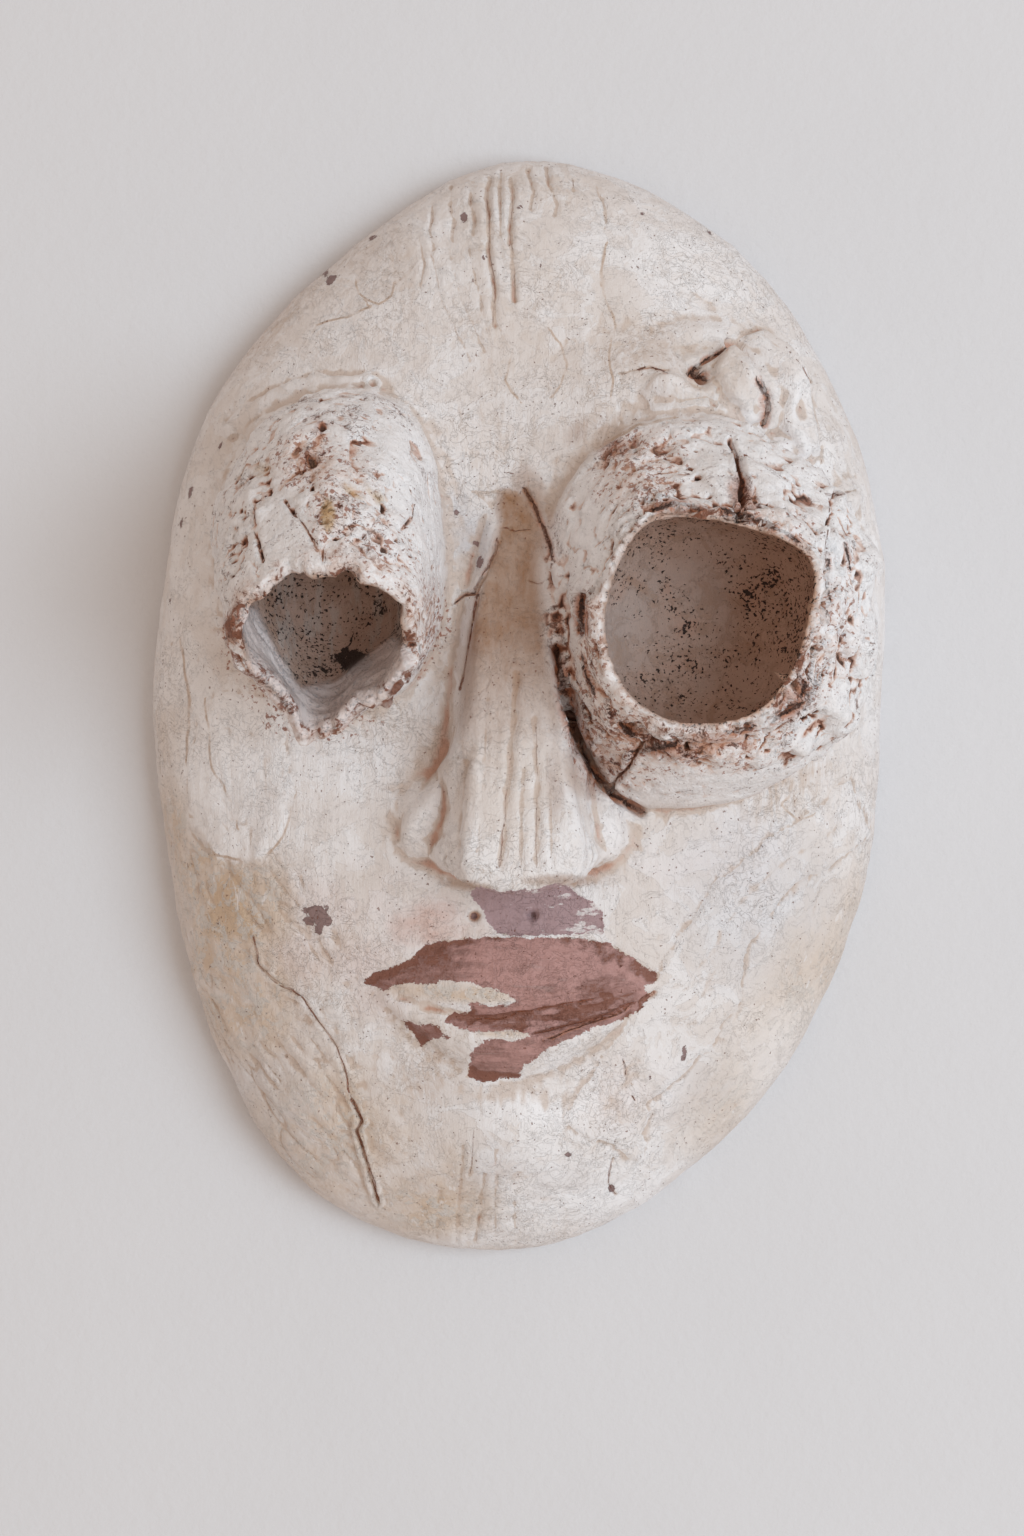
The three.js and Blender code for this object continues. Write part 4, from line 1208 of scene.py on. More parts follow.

# %% [markdown]
# Then the fresher colours: the last white coat, which still looks clean, wax that shines, a pink flush and
# a cool blue cast where the plaster is thin. On the right eye's left flank, which faces away from the light,
# the white coat is painted light.

# %% Fresh coats and painted light
# Besides the last white coat, the rows on the right eye's left flank are painted light on a side in shade.
FRESH_AND_LIT = [(385, 560, 40, 60, 0, 1.0), (350, 385, 60, 24, -10, 0.8), (285, 432, 40, 26, -30, 0.8),
         (650, 436, 50, 24, -20, 0.8), (735, 420, 40, 30, 0, 0.8), (790, 560, 34, 70, 0, 0.9),
         (250, 760, 90, 110, 0, 1.0), (330, 800, 100, 90, 0, 0.6), (430, 830, 56, 56, 0, 0.9),
         (415, 510, 54, 140, 0, 1.0), (845, 600, 60, 160, 0, 1.0), (800, 480, 60, 50, 30, 0.9),
         (790, 390, 40, 70, -20, 0.7), (592, 560, 40, 120, 0, 1.0), (690, 790, 100, 34, 0, 0.3),
         (575, 845, 60, 40, 0, 0.6), (712, 470, 26, 44, 0, 0.6), (640, 470, 60, 40, 0, 0.8),
         (690, 440, 90, 26, -8, 0.9), (600, 520, 30, 60, 20, 0.9), (190, 600, 40, 160, 6, 0.6),
         (700, 270, 90, 80, 0, 0.5), (790, 1060, 60, 90, 30, 0.6), (600, 1190, 110, 50, -8, 0.9),
         (560, 1090, 100, 44, 0, 1.0), (640, 1080, 60, 50, -30, 0.9), (535, 930, 50, 26, 0, 0.5),
         (440, 250, 40, 90, 0, 0.5)]
SHINE = [(520, 820, 60, 90, 0, 1.0), (450, 992, 80, 20, 4, 0.8), (410, 850, 30, 30, 0, 0.6)]
FLUSH = [(430, 920, 60, 30, -20, 1.0), (450, 932, 60, 16, -8, 1.1), (350, 900, 90, 50, 0, 0.3),
         (370, 960, 60, 40, 0, 0.4), (690, 850, 110, 60, 0, 0.2), (300, 960, 50, 40, 0, 0.35),
         (470, 905, 20, 16, 0, 0.6), (620, 1090, 100, 50, 0, 0.2), (380, 1000, 40, 30, 0, 0.4)]
print("patches of the last white coat:", len(FRESH_AND_LIT))

# %% [markdown]
# Last the strongest stains: umber on the nose, and rust and ochre on the tubes, as if from old iron. The
# stain on top of the nose ends at the brow's edge and at the crevice, and fades down the bridge. The umber
# under the nose's tip, down its right flank beside the crevice and at the right eye's foot is painted shade.

# %% Rust, umber and painted shade
# Umber stain, with painted shade under the nose's tip, down its right flank beside the crevice and where the
# right eye meets the brow.
UMBER_AND_SHADE = [(532, 505, 22, 50, -15, 0.8), (578, 432, 26, 14, -40, 0.4), (474, 640, 14, 100, 8, 0.3),
         (590, 765, 34, 40, 0, 0.9), (468, 886, 36, 7, 8, 0.8), (560, 881, 50, 8, 0, 0.7),
         (500, 720, 50, 90, 0, 0.25), (466, 730, 10, 90, 5, 0.3), (540, 580, 16, 80, 0, 1.0),
         (550, 690, 12, 80, -8, 0.6), (555, 780, 14, 60, 0, 0.4)]
RUSTY = [(309, 461, 44, 36, 0, 1.0), (330, 520, 24, 50, 0, 0.8), (391, 560, 44, 60, 0, 0.4),
         (420, 630, 34, 60, 20, 1.0), (240, 640, 30, 44, 20, 0.8), (320, 720, 70, 24, 0, 1.0),
         (270, 690, 30, 50, -30, 0.8), (640, 470, 60, 44, -30, 0.9), (620, 740, 60, 60, 30, 1.0),
         (720, 745, 90, 34, -8, 0.9), (820, 640, 44, 80, 10, 0.8), (770, 520, 60, 24, 10, 0.6),
         (595, 660, 26, 90, 0, 0.7), (345, 480, 40, 40, 0, 0.6)]
NOSE_STAIN = [(500, 490), (527, 490), (540, 519), (552, 545), (557, 600), (562, 670), (580, 740),
              (570, 810), (466, 800), (458, 720), (464, 660), (476, 600), (492, 545), (499, 523),
              (497, 504)]
OCHRE = [(358, 489, 20, 12, 25, 1.0), (328, 515, 10, 22, 0, 0.9), (376, 498, 16, 10, 20, 0.6),
         (262, 470, 14, 12, 0, 0.5)]
BLUE = [(300, 500, 60, 60, 0, 0.4), (350, 430, 60, 40, 0, 0.5), (660, 440, 90, 40, -20, 0.35),
        (750, 900, 100, 110, 0, 0.5), (440, 1090, 90, 40, 0, 0.2), (470, 540, 30, 40, -30, 0.8),
        (452, 510, 22, 26, 0, 0.7), (275, 1110, 50, 80, -20, 0.4), (395, 500, 50, 70, 0, 0.4),
        (580, 1190, 80, 40, 0, 0.35), (700, 1090, 60, 40, -30, 0.3), (240, 800, 60, 60, 0, 0.3),
        (725, 425, 50, 20, 0, 0.35), (480, 1170, 50, 50, 0, 0.25), (300, 530, 24, 30, 0, 0.2)]
# The stain on the nose fades between these heights
STAIN_FADES = (590, 810)
print("patches of rust:", len(RUSTY), " of blue:", len(BLUE))

# %% [markdown]
# Each kind of patch becomes one layer: a value for every point of the mesh, which the material reads by its
# name. An outline is kept as a distance, so that noise in the material can fray its edge.

# %% Patches as values
def painted(rows):
    """The strongest of some soft ovals at each point, from 0 to about 1."""
    total = np.zeros(len(points))
    for *row, strength in rows:
        inside = blob(spots, row)
        total = np.maximum(total, strength * inside * (2 - inside))
    return total * facing


def chip_distance(rows):
    """Distance in pixels inside the nearest small oval: positive inside, negative outside."""
    best = np.full(len(points), -20.0)
    for row in rows:
        best = np.maximum(best, (1 - oval_reach(spots, row)) * min(row[2:4]))
    return best


def clip(values, limit=20.0):
    """Distances that stop growing where they no longer matter."""
    return np.clip(values, -limit, limit)


print("points under the wax:", int((painted(CREAM) > 0.5).sum()))

# %% [markdown]
# Some masks come from the form itself, such as the tubes, the torn rims, the fresh coats on the cheeks and
# the lines along the folds of the snout's rim. A layer can hide another: no wax shows where a fresh coat
# covers it.

# %% All layers by name
# The right coat shows only on this side of the nose
RIGHT_SIDE_FROM = 600
crater = zones["crater"]
snout = zones["snout"]
stain = smooth_step(inside_distance(spots, NOSE_STAIN), -7, 8) * facing * (on_crater < 0.5)
stain *= 1 - smooth_step(spots[:, 1], *STAIN_FADES)
# Calm places keep less dirt; on the right eye's left flank this is painted light on a side in shade.
clean = np.zeros(len(points))
for outline, *_ in CALM:
    clean = np.maximum(clean, smooth_step(inside_distance(spots, outline), -4, 6))
white_coat = smooth_step(inside_distance(spots, LEFT_COAT) + 6 * rough(points, 5, 62), -2, 2)
right_coat = smooth_step(inside_distance(spots, RIGHT_COAT) + 6 * rough(points, 5, 63), -2, 2)
right_coat *= spots[:, 0] > RIGHT_SIDE_FROM
fresh = np.maximum(painted(FRESH_AND_LIT) * (1 - 0.7 * right_coat), white_coat * facing)
foot_edge = np.zeros(len(points))
for zone in (crater, snout):
    foot_edge += np.exp(-(((zone["foot"] - 1.05) / 0.13) ** 2)) * (zone["foot"] > 0)
foot_edge = np.clip(foot_edge, 0, 1)
rim = np.maximum(smooth_step(crater["share"], 0.93, 1.0) * (crater["foot"] > 0),
                 smooth_step(snout["share"], 0.9, 1.0) * (snout["foot"] > 0)) * front
inner_lip = smooth_step(inside_distance(spots, INNER_WALL), -4, 4) * (snout["cup"] | (rim > 0.5))
fold_lines = smooth_step(furrows(snout_leaves(snout), 3.4, 47), 0.2, 0.55)
fold_lines *= smooth_step(snout["share"], 0.8, 0.9) * smooth_step(-np.sin(snout["angle"]), -0.5, 0.1)
fold_lines *= on_snout * front * ~snout["cup"]
lip_distance = np.maximum(inside_distance(spots, MOUTH), inside_distance(spots, MOUTH_SPOT))
# What faces away from the picture is far from every line and outline
hidden = 40 * ~facing
layers = {
    "fold_lines": fold_lines,
    "mouth": clip(lip_distance) - hidden,
    "lilac": clip(inside_distance(spots, LILAC)) - hidden,
    "chips": chip_distance(CHIPS) - hidden,
    "crack_side": clip(crack_side),
    "crack_near": crack_near + hidden,
    "crack_dark": crack_dark,
    "stain_side": clip(stain_side),
    "stain_near": stain_near + hidden,
    "fine_hollow": fine_hollow,
    "broad_hollow": broad_hollow * (1 - 0.9 * foot_edge),
    "tube": np.maximum(on_crater, on_snout) * front * ~in_cup,
    "cup": in_cup.astype(float),
    "snout_cup": snout["cup"].astype(float),
    "rim": rim,
    "inner_lip": inner_lip,
    "brown": painted(BROWN),
    "cream": painted(CREAM) * (1 - white_coat) * (1 - right_coat),
    "tan": painted(TAN_AND_SHADE),
    "flush": painted(FLUSH),
    "rust": painted(RUSTY),
    "umber": np.maximum(painted(UMBER_AND_SHADE), stain),
    "ochre": painted(OCHRE),
    "clean": np.maximum(clean, painted(FRESH_AND_LIT)) * facing,
    "blue": painted(BLUE),
    "fresh": fresh,
    "lip_stain": painted(LIP_STAINS_AND_SHADE),
    "shine": painted(SHINE),
    "back": zones["back"].astype(float),
}
for name, values in layers.items():
    attribute = skin.attributes.new(name, "FLOAT", "POINT")
    attribute.data.foreach_set("value", np.asarray(values, np.float32))
print("layers of paint:", len(layers))

# %% [markdown]
# A material is a sum of layers: for each there is a colour and a mask. The masks are worked out with Math
# nodes, which are awkward to write one by one. So a small class wraps a socket, and ordinary signs between
# two of its values add the node that they stand for.

# %% Sums of nodes
class Value:
    """A socket of a material, on which arithmetic adds Math nodes."""

    def __init__(self, material, output):
        self.material = material
        self.output = output

    def math(self, operation, *others):
        return self.material.node("ShaderNodeMath", {"operation": operation}, self, *others)

    def __add__(self, other):
        return self.math("ADD", other)

    def __sub__(self, other):
        return self.math("SUBTRACT", other)

    def __rsub__(self, other):
        return self.material.node("ShaderNodeMath", {"operation": "SUBTRACT"}, other, self)

    def __mul__(self, other):
        return self.math("MULTIPLY", other)

    __radd__ = __add__
    __rmul__ = __mul__

    def larger(self, other):
        return self.math("MAXIMUM", other)

    def step(self, start, end):
        """A soft step from 0 at the start to 1 at the end."""
        settings = {"interpolation_type": "SMOOTHSTEP"}
        return self.material.node("ShaderNodeMapRange", settings, Value=self, From_Min=start, From_Max=end)


print("signs that add a node:", "+ - *")

# %% [markdown]
# The second class holds a node tree. One method adds any node, and the others are the few that are used
# again and again: a layer of the mesh, noise, and one colour laid over another. Colours go through a Mix
# node, because a Math node would turn them grey.

# %% A material of layers
class Material:
    """A node material with a Principled shader, built from layers."""

    def __init__(self, name):
        self.data = bpy.data.materials.new(name)
        self.data.use_nodes = True
        self.tree = self.data.node_tree
        self.shader = self.tree.nodes["Principled BSDF"]
        self.place = self.node("ShaderNodeTexCoord", take="Object")

    def put(self, socket, value):
        if isinstance(value, Value):
            self.tree.links.new(value.output, socket)
        else:
            socket.default_value = value

    def node(self, kind, settings=None, *values, take=0, **named):
        """Any node: its settings are set first, and then its sockets by number or by name."""
        node = self.tree.nodes.new(kind)
        for name, value in (settings or {}).items():
            setattr(node, name, value)
        for number, value in enumerate(values):
            self.put(node.inputs[number], value)
        for name, value in named.items():
            self.put(node.inputs[name.replace("_", " ")], value)
        return Value(self, node.outputs[take])

    def mix(self, base, colour, mask):
        """The base colour with another one laid over it where the mask is 1."""
        node = self.tree.nodes.new("ShaderNodeMix")
        node.data_type = "RGBA"
        for number, value in ((0, mask), (6, base), (7, colour)):
            self.put(node.inputs[number], value)
        return Value(self, node.outputs[2])

    def layer(self, name):
        """A float attribute of the mesh."""
        return self.node("ShaderNodeAttribute", {"attribute_name": name}, take="Fac")

    def stretched(self, x, y, z):
        """Object coordinates scaled along each axis."""
        return self.node("ShaderNodeVectorMath", {"operation": "MULTIPLY"}, self.place, (x, y, z))

    def grain(self, size, detail=3.0, rough=0.55, place=None, bend=0.0):
        """Noise from about 0.3 to 0.7 with lumps of a size in millimetres."""
        place = place or self.place
        return self.node("ShaderNodeTexNoise", None, Vector=place, Scale=1 / (size * MM), Detail=detail,
                         Roughness=rough, Distortion=bend)

    def finish(self, colour, roughness, height=None, distance=1.0):
        """Feed the shader; the height is in millimetres."""
        self.put(self.shader.inputs["Base Color"], colour)
        self.put(self.shader.inputs["Roughness"], roughness)
        if height is not None:
            bump = self.node("ShaderNodeBump", None, Strength=1.0, Distance=distance * MM, Height=height)
            self.put(self.shader.inputs["Normal"], bump)


def tone(red, green, blue):
    """A colour as the eye names it, from 0 to 255, in the linear values that a shader takes."""
    channels = (channel / 255 for channel in (red, green, blue))
    return (*(c / 12.92 if c < 0.04045 else ((c + 0.055) / 1.055) ** 2.4 for c in channels), 1.0)


print("pale plaster is", [round(part, 3) for part in tone(214, 205, 200)])

# %% [markdown]
# The plaster's colours: a white coat over warmer plaster, yellowed wax, a pink flush, the mauve of old lips
# and chips, and a brown glaze in every hollow. They are named as a maker would name the paints.

# %% Colours
WHITE = tone(229, 222, 219)
CHALK = tone(218, 208, 202)
WARM = tone(206, 190, 177)
COOL_WHITE = tone(231, 228, 228)
FRESH_AND_LIT_WHITE = tone(241, 238, 238)
INNER_WHITE = tone(226, 216, 214)
GREY_PLASTER = tone(204, 197, 191)
BLUE_CHALK = tone(196, 194, 198)
MAUVE_CHALK = tone(190, 160, 155)
CREAM_WAX = tone(202, 176, 150)
TAN_STAIN_AND_SHADE = tone(190, 164, 143)
OCHRE_STAIN = tone(196, 160, 112)
UMBER_STAIN_AND_SHADE = tone(150, 109, 76)
PINK = tone(204, 172, 160)
LIP = tone(180, 137, 130)
LIP_DARK = tone(134, 97, 89)
LILAC_PAINT = tone(166, 138, 139)
MAUVE = tone(128, 98, 94)
PALE_RUST = tone(206, 164, 138)
RUST = tone(178, 112, 78)
RUST_SPECK = tone(142, 78, 50)
GLAZE = tone(122, 68, 42)
# Near black, for deep cracks and for painted shadow in the gaps, the crevice and the deepest hollows.
CRACK_AND_SHADOW = tone(52, 30, 21)
PIT = tone(104, 54, 32)
RIM_EDGE = tone(198, 164, 144)
# The cups are darker than the plaster outside, partly as painted shade of their depth.
CUP_PALE = tone(182, 164, 155)
CUP_BROWN = tone(206, 170, 149)
SPECK = tone(44, 30, 25)
print("the darkest crack is", [round(part, 3) for part in CRACK_AND_SHADOW])

# %% [markdown]
# The masks read the layers of paint by their names, and break their edges with noise. A few noises of
# different sizes are made once and shared, because each costs time in every picture.

# %% Layers and noises
plaster = Material("plaster")
layer = {name: plaster.layer(name) for name in layers}
clouds = plaster.grain(38, 3, 0.6)
patches = plaster.grain(12, 5, 0.62, bend=0.6)
crumbs = plaster.grain(2.6, 5, 0.68, bend=0.5)
dust = plaster.grain(0.5, 2, 0.6)
brushed = plaster.grain(1.6, 4, 0.65, plaster.stretched(1, 0.12, 1), bend=0.4)
winding = plaster.grain(4.5, 3, 0.6, bend=1.5)
mottle = plaster.grain(7, 6, 0.68, bend=1.0)
skin_edge = patches.step(0.5, 0.52)
hollow = layer["fine_hollow"] * 1.6 + layer["broad_hollow"] * 0.7
sunk = hollow.larger(0)
print("noises made:", len(plaster.tree.nodes), "nodes so far")

# %% [markdown]
# The face's coats go on one after another, from the chalky ground to the stains, as they did on the real
# one.

# %% The face's coats
colour = plaster.mix(CHALK, WHITE, (clouds * 0.6 + patches * 0.5).step(0.44, 0.64))
colour = plaster.mix(colour, WARM, (clouds * 0.5 + brushed * 0.6).step(0.58, 0.7) * 0.3)
colour = plaster.mix(colour, COOL_WHITE, skin_edge * 0.4)
colour = plaster.mix(colour, WARM, mottle.step(0.5, 0.66) * (0.12 + layer["tan"] * 0.7))
outline = 1 - (mottle - 0.53).math("ABSOLUTE").step(0.001, 0.007)
colour = plaster.mix(colour, TAN_STAIN_AND_SHADE, outline * (clouds + layer["tan"] * 0.3).step(0.52, 0.64) * 0.6)
colour = plaster.mix(colour, PINK, layer["flush"] * (clouds + patches).step(0.8, 1.2) * 0.9)
# Tan patches, some of them painted shade.
tan = layer["tan"] * (brushed + patches).step(0.85, 1.2) * 0.7
colour = plaster.mix(colour, TAN_STAIN_AND_SHADE, tan)
colour = plaster.mix(colour, BLUE_CHALK, layer["blue"] * 0.75)
colour = plaster.mix(colour, CREAM_WAX, layer["cream"] * (clouds * 0.8 + patches * 0.8).step(0.58, 0.9))
# The last white coat, and painted light on the right eye's left flank.
colour = plaster.mix(colour, FRESH_AND_LIT_WHITE, layer["fresh"] * (0.75 + (patches - 0.5) * 1.5))
worn_down = (crumbs * 0.7 + mottle * 0.7).step(0.7, 0.76) * layer["cream"].step(0.3, 0.8)
colour = plaster.mix(colour, GREY_PLASTER, worn_down * 0.75)
flecks = plaster.grain(1.8, 2, 0.5, plaster.stretched(1, 0.3, 1)).step(0.64, 0.72)
colour = plaster.mix(colour, WHITE, flecks * layer["cream"].step(0.2, 0.5) * 0.7)
# Creases and hollows of the face turn tan, and the deepest turn rust: glaze that stayed there, with painted
# shade in the hollows.
creases = layer["fine_hollow"] * 2 + layer["broad_hollow"] * 0.35
colour = plaster.mix(colour, TAN_STAIN_AND_SHADE, creases.step(0.1, 0.5) * (1 - layer["tube"]) * 0.55)
colour = plaster.mix(colour, RUST, hollow.step(0.7, 1.6) * (1 - layer["tube"]) * 0.6)
# Umber on the nose, with painted shade under its tip, beside the crevice and at the right eye's foot.
umber = (layer["umber"] + (patches - 0.5) * 0.9 + (brushed - 0.5) * 0.4).larger(0)
umber = umber * layer["umber"].step(0, 0.3)
colour = plaster.mix(colour, UMBER_STAIN_AND_SHADE, umber * 0.85)
print("face:", len(plaster.tree.nodes), "nodes so far")

# %% [markdown]
# The eye tubes are whiter, but full of pits, strings and crumbs with brown glaze in them. The deeper a
# hollow is, the darker its colour: pale rust first, then rust, glaze and near black. This darkening with
# depth is glaze and painted shade together.

# %% The eye tubes' crumbs, glaze and painted shade
pit_level = crumbs - layer["brown"] * 0.09 - sunk * 0.1 - (patches - 0.5) * 0.45
# Less dirt where the tube is clean, and on its left flank as painted light.
dirty = layer["tube"] * (1 - layer["clean"] * 0.8)
pits = (1 - pit_level.step(0.29, 0.34)) * dirty
halo = (1 - pit_level.step(0.32, 0.42)) * dirty
gate = (patches + layer["brown"] * 0.1).step(0.52, 0.6)
strings = (1 - (winding - 0.5).math("ABSOLUTE").step(0.004, 0.018)) * gate * dirty
wash = (layer["brown"] * 1.2 + (patches - 0.5) * 2.2 + (crumbs - 0.5) * 2.0).step(0.3, 1.2)
tube_hollow = layer["fine_hollow"] * 1.8 + layer["broad_hollow"] * 0.35
deep = tube_hollow + layer["brown"] * 0.25 + (crumbs - 0.5) * 0.8 + (patches - 0.5) * 0.8
colour = plaster.mix(colour, WHITE, layer["tube"] * 0.6)
colour = plaster.mix(colour, FRESH_AND_LIT_WHITE, layer["tube"] * layer["fresh"].larger(0.5))
# Pale rust, rust, glaze and near black by the depth of the hollow: glaze with painted shade in the hollows.
colour = plaster.mix(colour, PALE_RUST, layer["tube"] * deep.step(0.12, 0.55) * 0.5)
colour = plaster.mix(colour, RUST, halo * 0.5)
colour = plaster.mix(colour, RUST, wash * layer["brown"].step(0.0, 0.9) * 0.6)
rusty = (plaster.grain(1.5, 3, 0.6) + (patches - 0.5) * 0.35 + layer["rust"] * 0.1).step(0.6, 0.68)
colour = plaster.mix(colour, RUST_SPECK, rusty * layer["rust"].step(0.0, 0.3) * 0.8)
colour = plaster.mix(colour, RUST_SPECK, strings * 0.6)
colour = plaster.mix(colour, PIT, pits * 0.8)
colour = plaster.mix(colour, RUST, layer["tube"] * deep.step(0.42, 0.9) * (0.65 - layer["clean"] * 0.3))
colour = plaster.mix(colour, GLAZE, layer["tube"] * deep.step(0.68, 1.1) * (0.8 - layer["clean"] * 0.3))
colour = plaster.mix(colour, CRACK_AND_SHADOW, layer["tube"] * deep.step(1.0, 1.5) * 0.8)
colour = plaster.mix(colour, PALE_RUST, layer["rust"] * crumbs.step(0.4, 0.6) * layer["tube"] * 0.5)
colour = plaster.mix(colour, OCHRE_STAIN, layer["ochre"].step(0.1, 0.7) * patches.step(0.4, 0.6) * 0.8)
print("tubes:", len(plaster.tree.nodes), "nodes so far")

# %% [markdown]
# The cups inside are smooth and brown, darker to the right, with dark specks of mould that crowd together.
# Their brown is partly painted shade of the deep cups, and the tint that grows to the right is painted shade
# of the right wall, which faces away from the light.
# The snout's cup has pale runs of plaster on its wall and more mould at its bottom. The torn rims catch the
# dirt.

# %% The cups
right = plaster.node("ShaderNodeSeparateXYZ", None, plaster.place)
# Browner to the right: painted shade of the cup's right wall, which faces away from the light; the specks
# crowd there too.
cup_tint_and_shade = (clouds * 0.7 + patches * 0.4 + right * 7.5).step(0.45, 1.2)
cup_colour = plaster.mix(CUP_PALE, CUP_BROWN, cup_tint_and_shade.larger(layer["snout_cup"] * 0.6))
cup_colour = plaster.mix(cup_colour, RUST, patches.step(0.5, 0.75) * 0.3)
cup_colour = plaster.mix(cup_colour, UMBER_STAIN_AND_SHADE, mottle.step(0.46, 0.66) * 0.35)
crowd = (patches - 0.5) * 0.45 + cup_tint_and_shade * 0.13 + layer["snout_cup"] * 0.11 - 0.055
cup_specks = (plaster.grain(0.9, 2, 0.6) + crowd).step(0.64, 0.67)
cup_specks = cup_specks.larger((plaster.grain(3.0, 3, 0.6, bend=0.5) + crowd).step(0.73, 0.75))
mould = (layer["brown"] + (crumbs - 0.5) * 4 + (patches - 0.5) * 2).step(0.85, 1.15) * layer["snout_cup"]
runs = plaster.grain(3.4, 3, 0.6, plaster.stretched(1, 0.25, 0.25)).step(0.5, 0.62) * layer["snout_cup"]
cup_colour = plaster.mix(cup_colour, GREY_PLASTER, runs * 0.45)
cup_colour = plaster.mix(cup_colour, SPECK, cup_specks.larger(mould) * 0.95)
colour = plaster.mix(colour, cup_colour, layer["cup"])
colour = plaster.mix(colour, INNER_WHITE, layer["inner_lip"] * 0.75)
rim_mask = (patches + crumbs * 0.5).step(0.62, 0.85)
colour = plaster.mix(colour, RIM_EDGE, layer["rim"] * (1 - layer["cup"]) * rim_mask * 0.6)
colour = plaster.mix(colour, GLAZE, layer["fold_lines"] * (patches + crumbs).step(0.85, 1.0) * 0.9)
rim_dirt = (patches * 0.6 + crumbs + layer["brown"] * 0.15).step(0.86, 0.96)
colour = plaster.mix(colour, GLAZE, layer["rim"] * rim_dirt * 0.9)
print("cups:", len(plaster.tree.nodes), "nodes so far")

# %% [markdown]
# The lips keep an old mauve paint with darker streaks across, and the patch above them a paler, worn lilac.
# The same noise frays the edges of both and of the small chips.

# %% Lips and chips
edge_noise = (patches - 0.5) * 9 + (crumbs - 0.5) * 12 + (dust - 0.5) * 4
lips = (layer["mouth"] + edge_noise).step(-0.4, 0.4)
streaks = plaster.grain(1.8, 4, 0.65, plaster.stretched(0.16, 1, 1), bend=0.5)
# Darker in listed patches, along streaks and in the hollows; the darkening in the hollows is partly painted
# shade.
lip_stain = streaks * 0.7 + crumbs * 0.5 + sunk * 0.5 + (patches - 0.5) * 0.5 + layer["lip_stain"] * 0.22
lip_colour = plaster.mix(LIP, LIP_DARK, lip_stain.step(0.56, 0.86) * 0.85)
lip_colour = plaster.mix(lip_colour, GLAZE, (lip_stain + dust * 0.4).step(1.0, 1.16) * 0.6)
lip_colour = plaster.mix(lip_colour, MAUVE_CHALK, streaks.step(0.6, 0.68) * 0.3)
colour = plaster.mix(colour, lip_colour, lips)
lilac = (layer["lilac"] + edge_noise).step(-0.4, 0.4)
worn = (plaster.grain(3, 4, 0.65, plaster.stretched(0.4, 1, 1)) + right * 5).step(0.6, 0.66)
colour = plaster.mix(colour, plaster.mix(LILAC_PAINT, WHITE, worn * 0.75), lilac)
chips = (layer["chips"] + edge_noise * 0.45 - 0.4).step(-0.3, 0.3)
colour = plaster.mix(colour, MAUVE, chips * 0.9)
print("lips:", len(plaster.tree.nodes), "nodes so far")

# %% [markdown]
# A thin line is where the signed distance passes zero and the plain distance is small. The crumbs' noise
# makes it wider and narrower, and gaps open in it. A darker line is a deeper crack; the darkest are painted
# shadow in the gaps and the crevice. Rust spreads beside them.

# %% Cracks, painted shadow in gaps, and stains
stain_line = 1 - layer["stain_side"].math("ABSOLUTE").step(0.3, 1.3)
stain_line = stain_line * (1 - layer["stain_near"].step(1.5, 3.0))
colour = plaster.mix(colour, TAN_STAIN_AND_SHADE, stain_line * patches.step(0.36, 0.55) * 0.8)
crack_and_shadow_width = (crumbs - 0.5) * 4.5 + (dust - 0.5) * 1.5
broken = 0.4 + 0.6 * (patches + crumbs).step(0.86, 1.06)
# Rust brown to near black by darkness: cracks, and painted shadow in the gaps and the crevice.
crack_and_shadow_colour = plaster.mix(RUST_SPECK, GLAZE, layer["crack_dark"].step(0.6, 0.7))
crack_and_shadow_colour = plaster.mix(crack_and_shadow_colour, CRACK_AND_SHADOW, layer["crack_dark"].step(0.75, 1.0))
crack_and_shadow_line = 1 - (layer["crack_side"].math("ABSOLUTE") + crack_and_shadow_width).step(0.5, 1.3)
crack_and_shadow_line = crack_and_shadow_line * (1 - layer["crack_near"].step(1.8, 3.2))
crack_and_shadow_line = crack_and_shadow_line * layer["crack_dark"].step(0, 0.8) * broken
near_crack = (1 - layer["crack_near"].step(1.0, 3.4)) * layer["crack_dark"].step(0.4, 1.2)
near_crack = near_crack * (crumbs + patches).step(0.8, 1.1)
colour = plaster.mix(colour, RUST, near_crack * 0.8)
colour = plaster.mix(colour, crack_and_shadow_colour, crack_and_shadow_line * 0.95)
dots = (plaster.grain(0.9, 1, 0.5) + (patches - 0.5) * 0.25 + layer["tube"] * 0.03).step(0.735, 0.765)
colour = plaster.mix(colour, GLAZE, dots * (1 - layer["cup"]) * 0.65)
colour = plaster.mix(colour, CHALK, layer["back"] * 0.8)
print("cracks:", len(plaster.tree.nodes), "nodes so far")

# %% [markdown]
# Wax and old paint are glossier than bare plaster. The finest relief, too small for the mesh, is a height
# in millimetres that goes through a Bump node.

# %% Gloss and fine relief
gloss = layer["cream"] * 0.8 + lips * 0.4 + layer["shine"]
roughness = 0.68 - gloss * 0.3 + (crumbs - 0.5) * 0.25
wrinkles = (1 - (winding - 0.5).math("ABSOLUTE").step(0.002, 0.02)) * clouds.step(0.46, 0.6)
height = (crumbs - 0.5) * 0.3 + (dust - 0.5) * 0.12 + (brushed - 0.5) * 0.3 + skin_edge * 0.08
height = height + wrinkles * (1 - layer["tube"]) * 0.1 + outline * 0.04
height = height + layer["tube"] * (crumbs - 0.5) * 0.5 - pits * 0.7 - strings * 0.35
height = height + lips * (streaks - 0.5) * 0.5
height = height - dots * 0.25 - crack_and_shadow_line * 0.5 - lips * 0.08
height = height - chips * 0.2 - cup_specks * layer["cup"] * 0.2
plaster.put(plaster.shader.inputs["Specular IOR Level"], 0.4)
plaster.finish(colour, roughness, height)
print("plaster:", len(plaster.tree.nodes), "nodes")

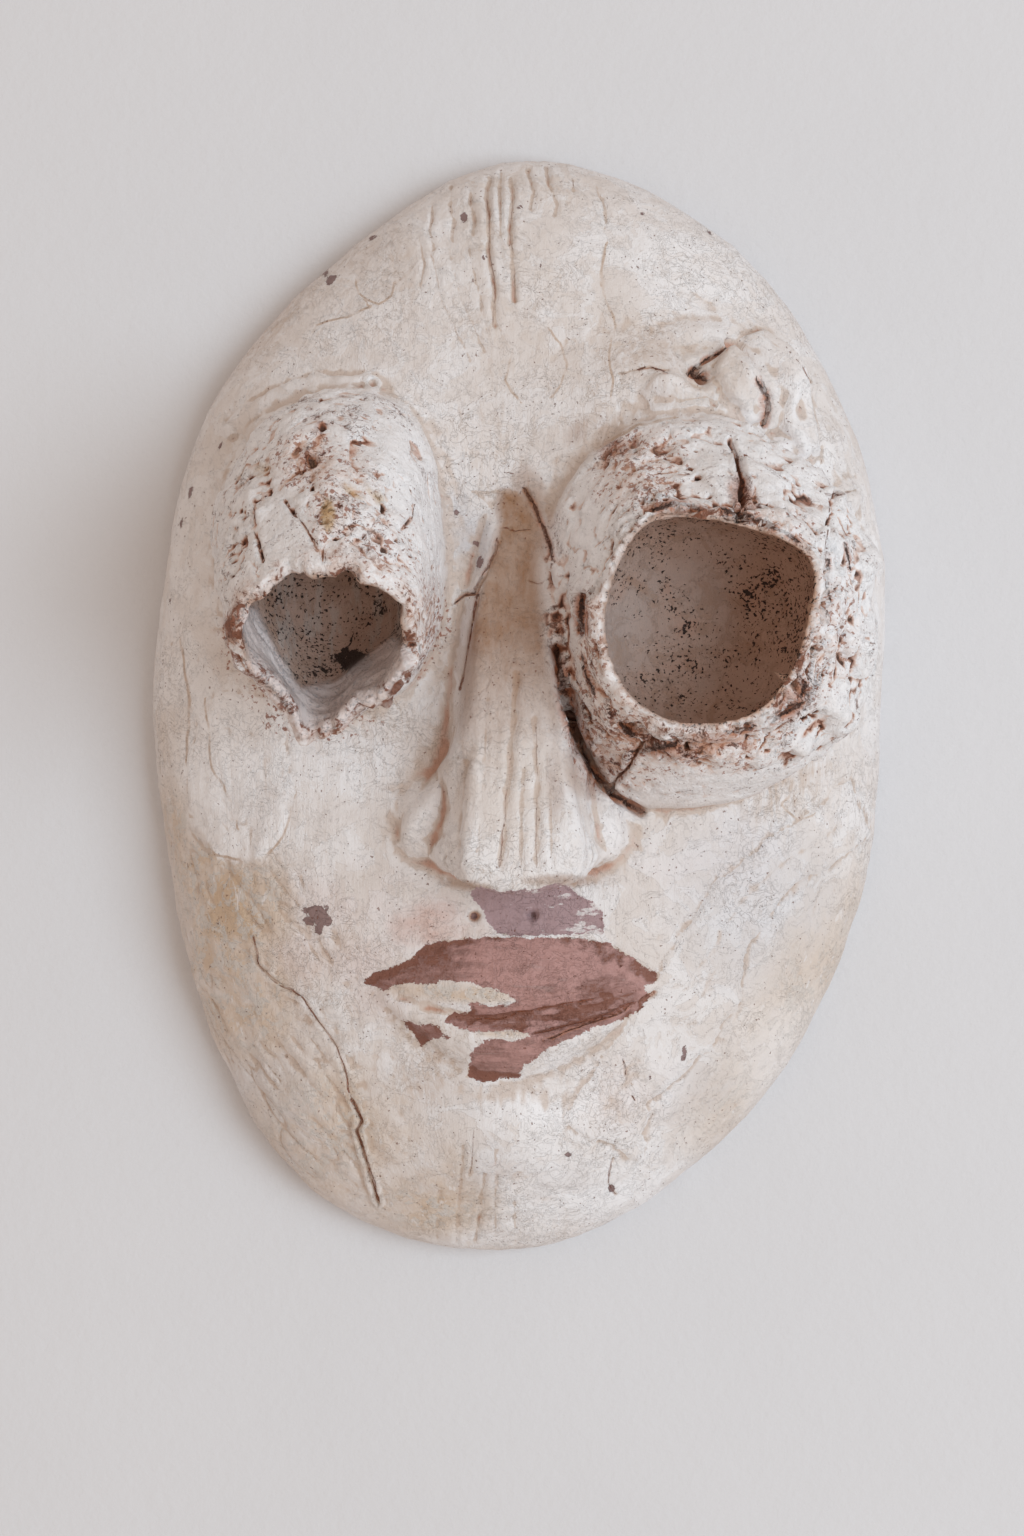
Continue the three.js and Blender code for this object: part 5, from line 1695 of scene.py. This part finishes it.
# %% [markdown]
# The mask was carved in millimetres. Blender works in metres, so the mesh is scaled down once, and then it
# gets its material.

# %% Onto the mask
skin.transform(Matrix.Scale(MM, 4))
skin.shade_smooth()
skin.materials.clear()
skin.materials.append(plaster.data)
print("mask:", len(skin.polygons), "triangles")

# %% [markdown]
# The floor is pale and almost plain, like the painted surface that the mask lies on. One large soft light
# stands to the right and above, as a window would, and the room around gives the rest.

# %% Floor
FLOOR_SIZE = 4.0
FLOOR_GREY = tone(213, 211, 212)
FLOOR_PALE = tone(218, 216, 217)
bm = bmesh.new()
bmesh.ops.create_grid(bm, x_segments=1, y_segments=1, size=FLOOR_SIZE / 2)
floor_mesh = bpy.data.meshes.new("floor")
bm.to_mesh(floor_mesh)
bm.free()
floor = bpy.data.objects.new("floor", floor_mesh)
bpy.context.scene.collection.objects.link(floor)
floor_paint = Material("floor")
floor_grain = floor_paint.grain(9, 4, 0.6) * 0.5 + floor_paint.grain(2.5, 3, 0.6) * 0.25
floor_colour = floor_paint.mix(FLOOR_GREY, FLOOR_PALE, floor_paint.grain(90, 3))
floor_paint.finish(floor_colour, 0.85, floor_grain, 0.6)
floor_mesh.materials.append(floor_paint.data)
print("floor:", FLOOR_SIZE, "m wide")

# %% [markdown]
# The window's light is cool and the room's is warm, so the shadows on the plaster turn a little warmer than
# the lit side.

# %% Light
WINDOW_AT = (1.45, -0.08, 2.15)
WINDOW_SIZE = 1.6
WINDOW_POWER = 43.0
WINDOW_COLOUR = (0.71, 0.875, 1.0)
ROOM_LIGHT = 0.61
ROOM_COLOUR = (1.0, 0.853, 0.75, 1)


def area_light(name, at, size, power, colour):
    """A soft square light that looks at the mask."""
    data = bpy.data.lights.new(name, "AREA")
    data.size = size
    data.energy = power
    data.color = colour
    light = bpy.data.objects.new(name, data)
    light.location = at
    light.rotation_euler = (-Vector(at)).to_track_quat("-Z", "Y").to_euler()
    bpy.context.scene.collection.objects.link(light)


area_light("window", WINDOW_AT, WINDOW_SIZE, WINDOW_POWER, WINDOW_COLOUR)
world = bpy.data.worlds.new("room")
world.use_nodes = True
world.node_tree.nodes["Background"].inputs["Color"].default_value = ROOM_COLOUR
world.node_tree.nodes["Background"].inputs["Strength"].default_value = ROOM_LIGHT
bpy.context.scene.world = world
bpy.context.scene.view_settings.view_transform = "Standard"
print("window light:", WINDOW_POWER, "W")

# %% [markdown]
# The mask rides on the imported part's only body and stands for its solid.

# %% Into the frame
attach(mask, "root")
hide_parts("mask")
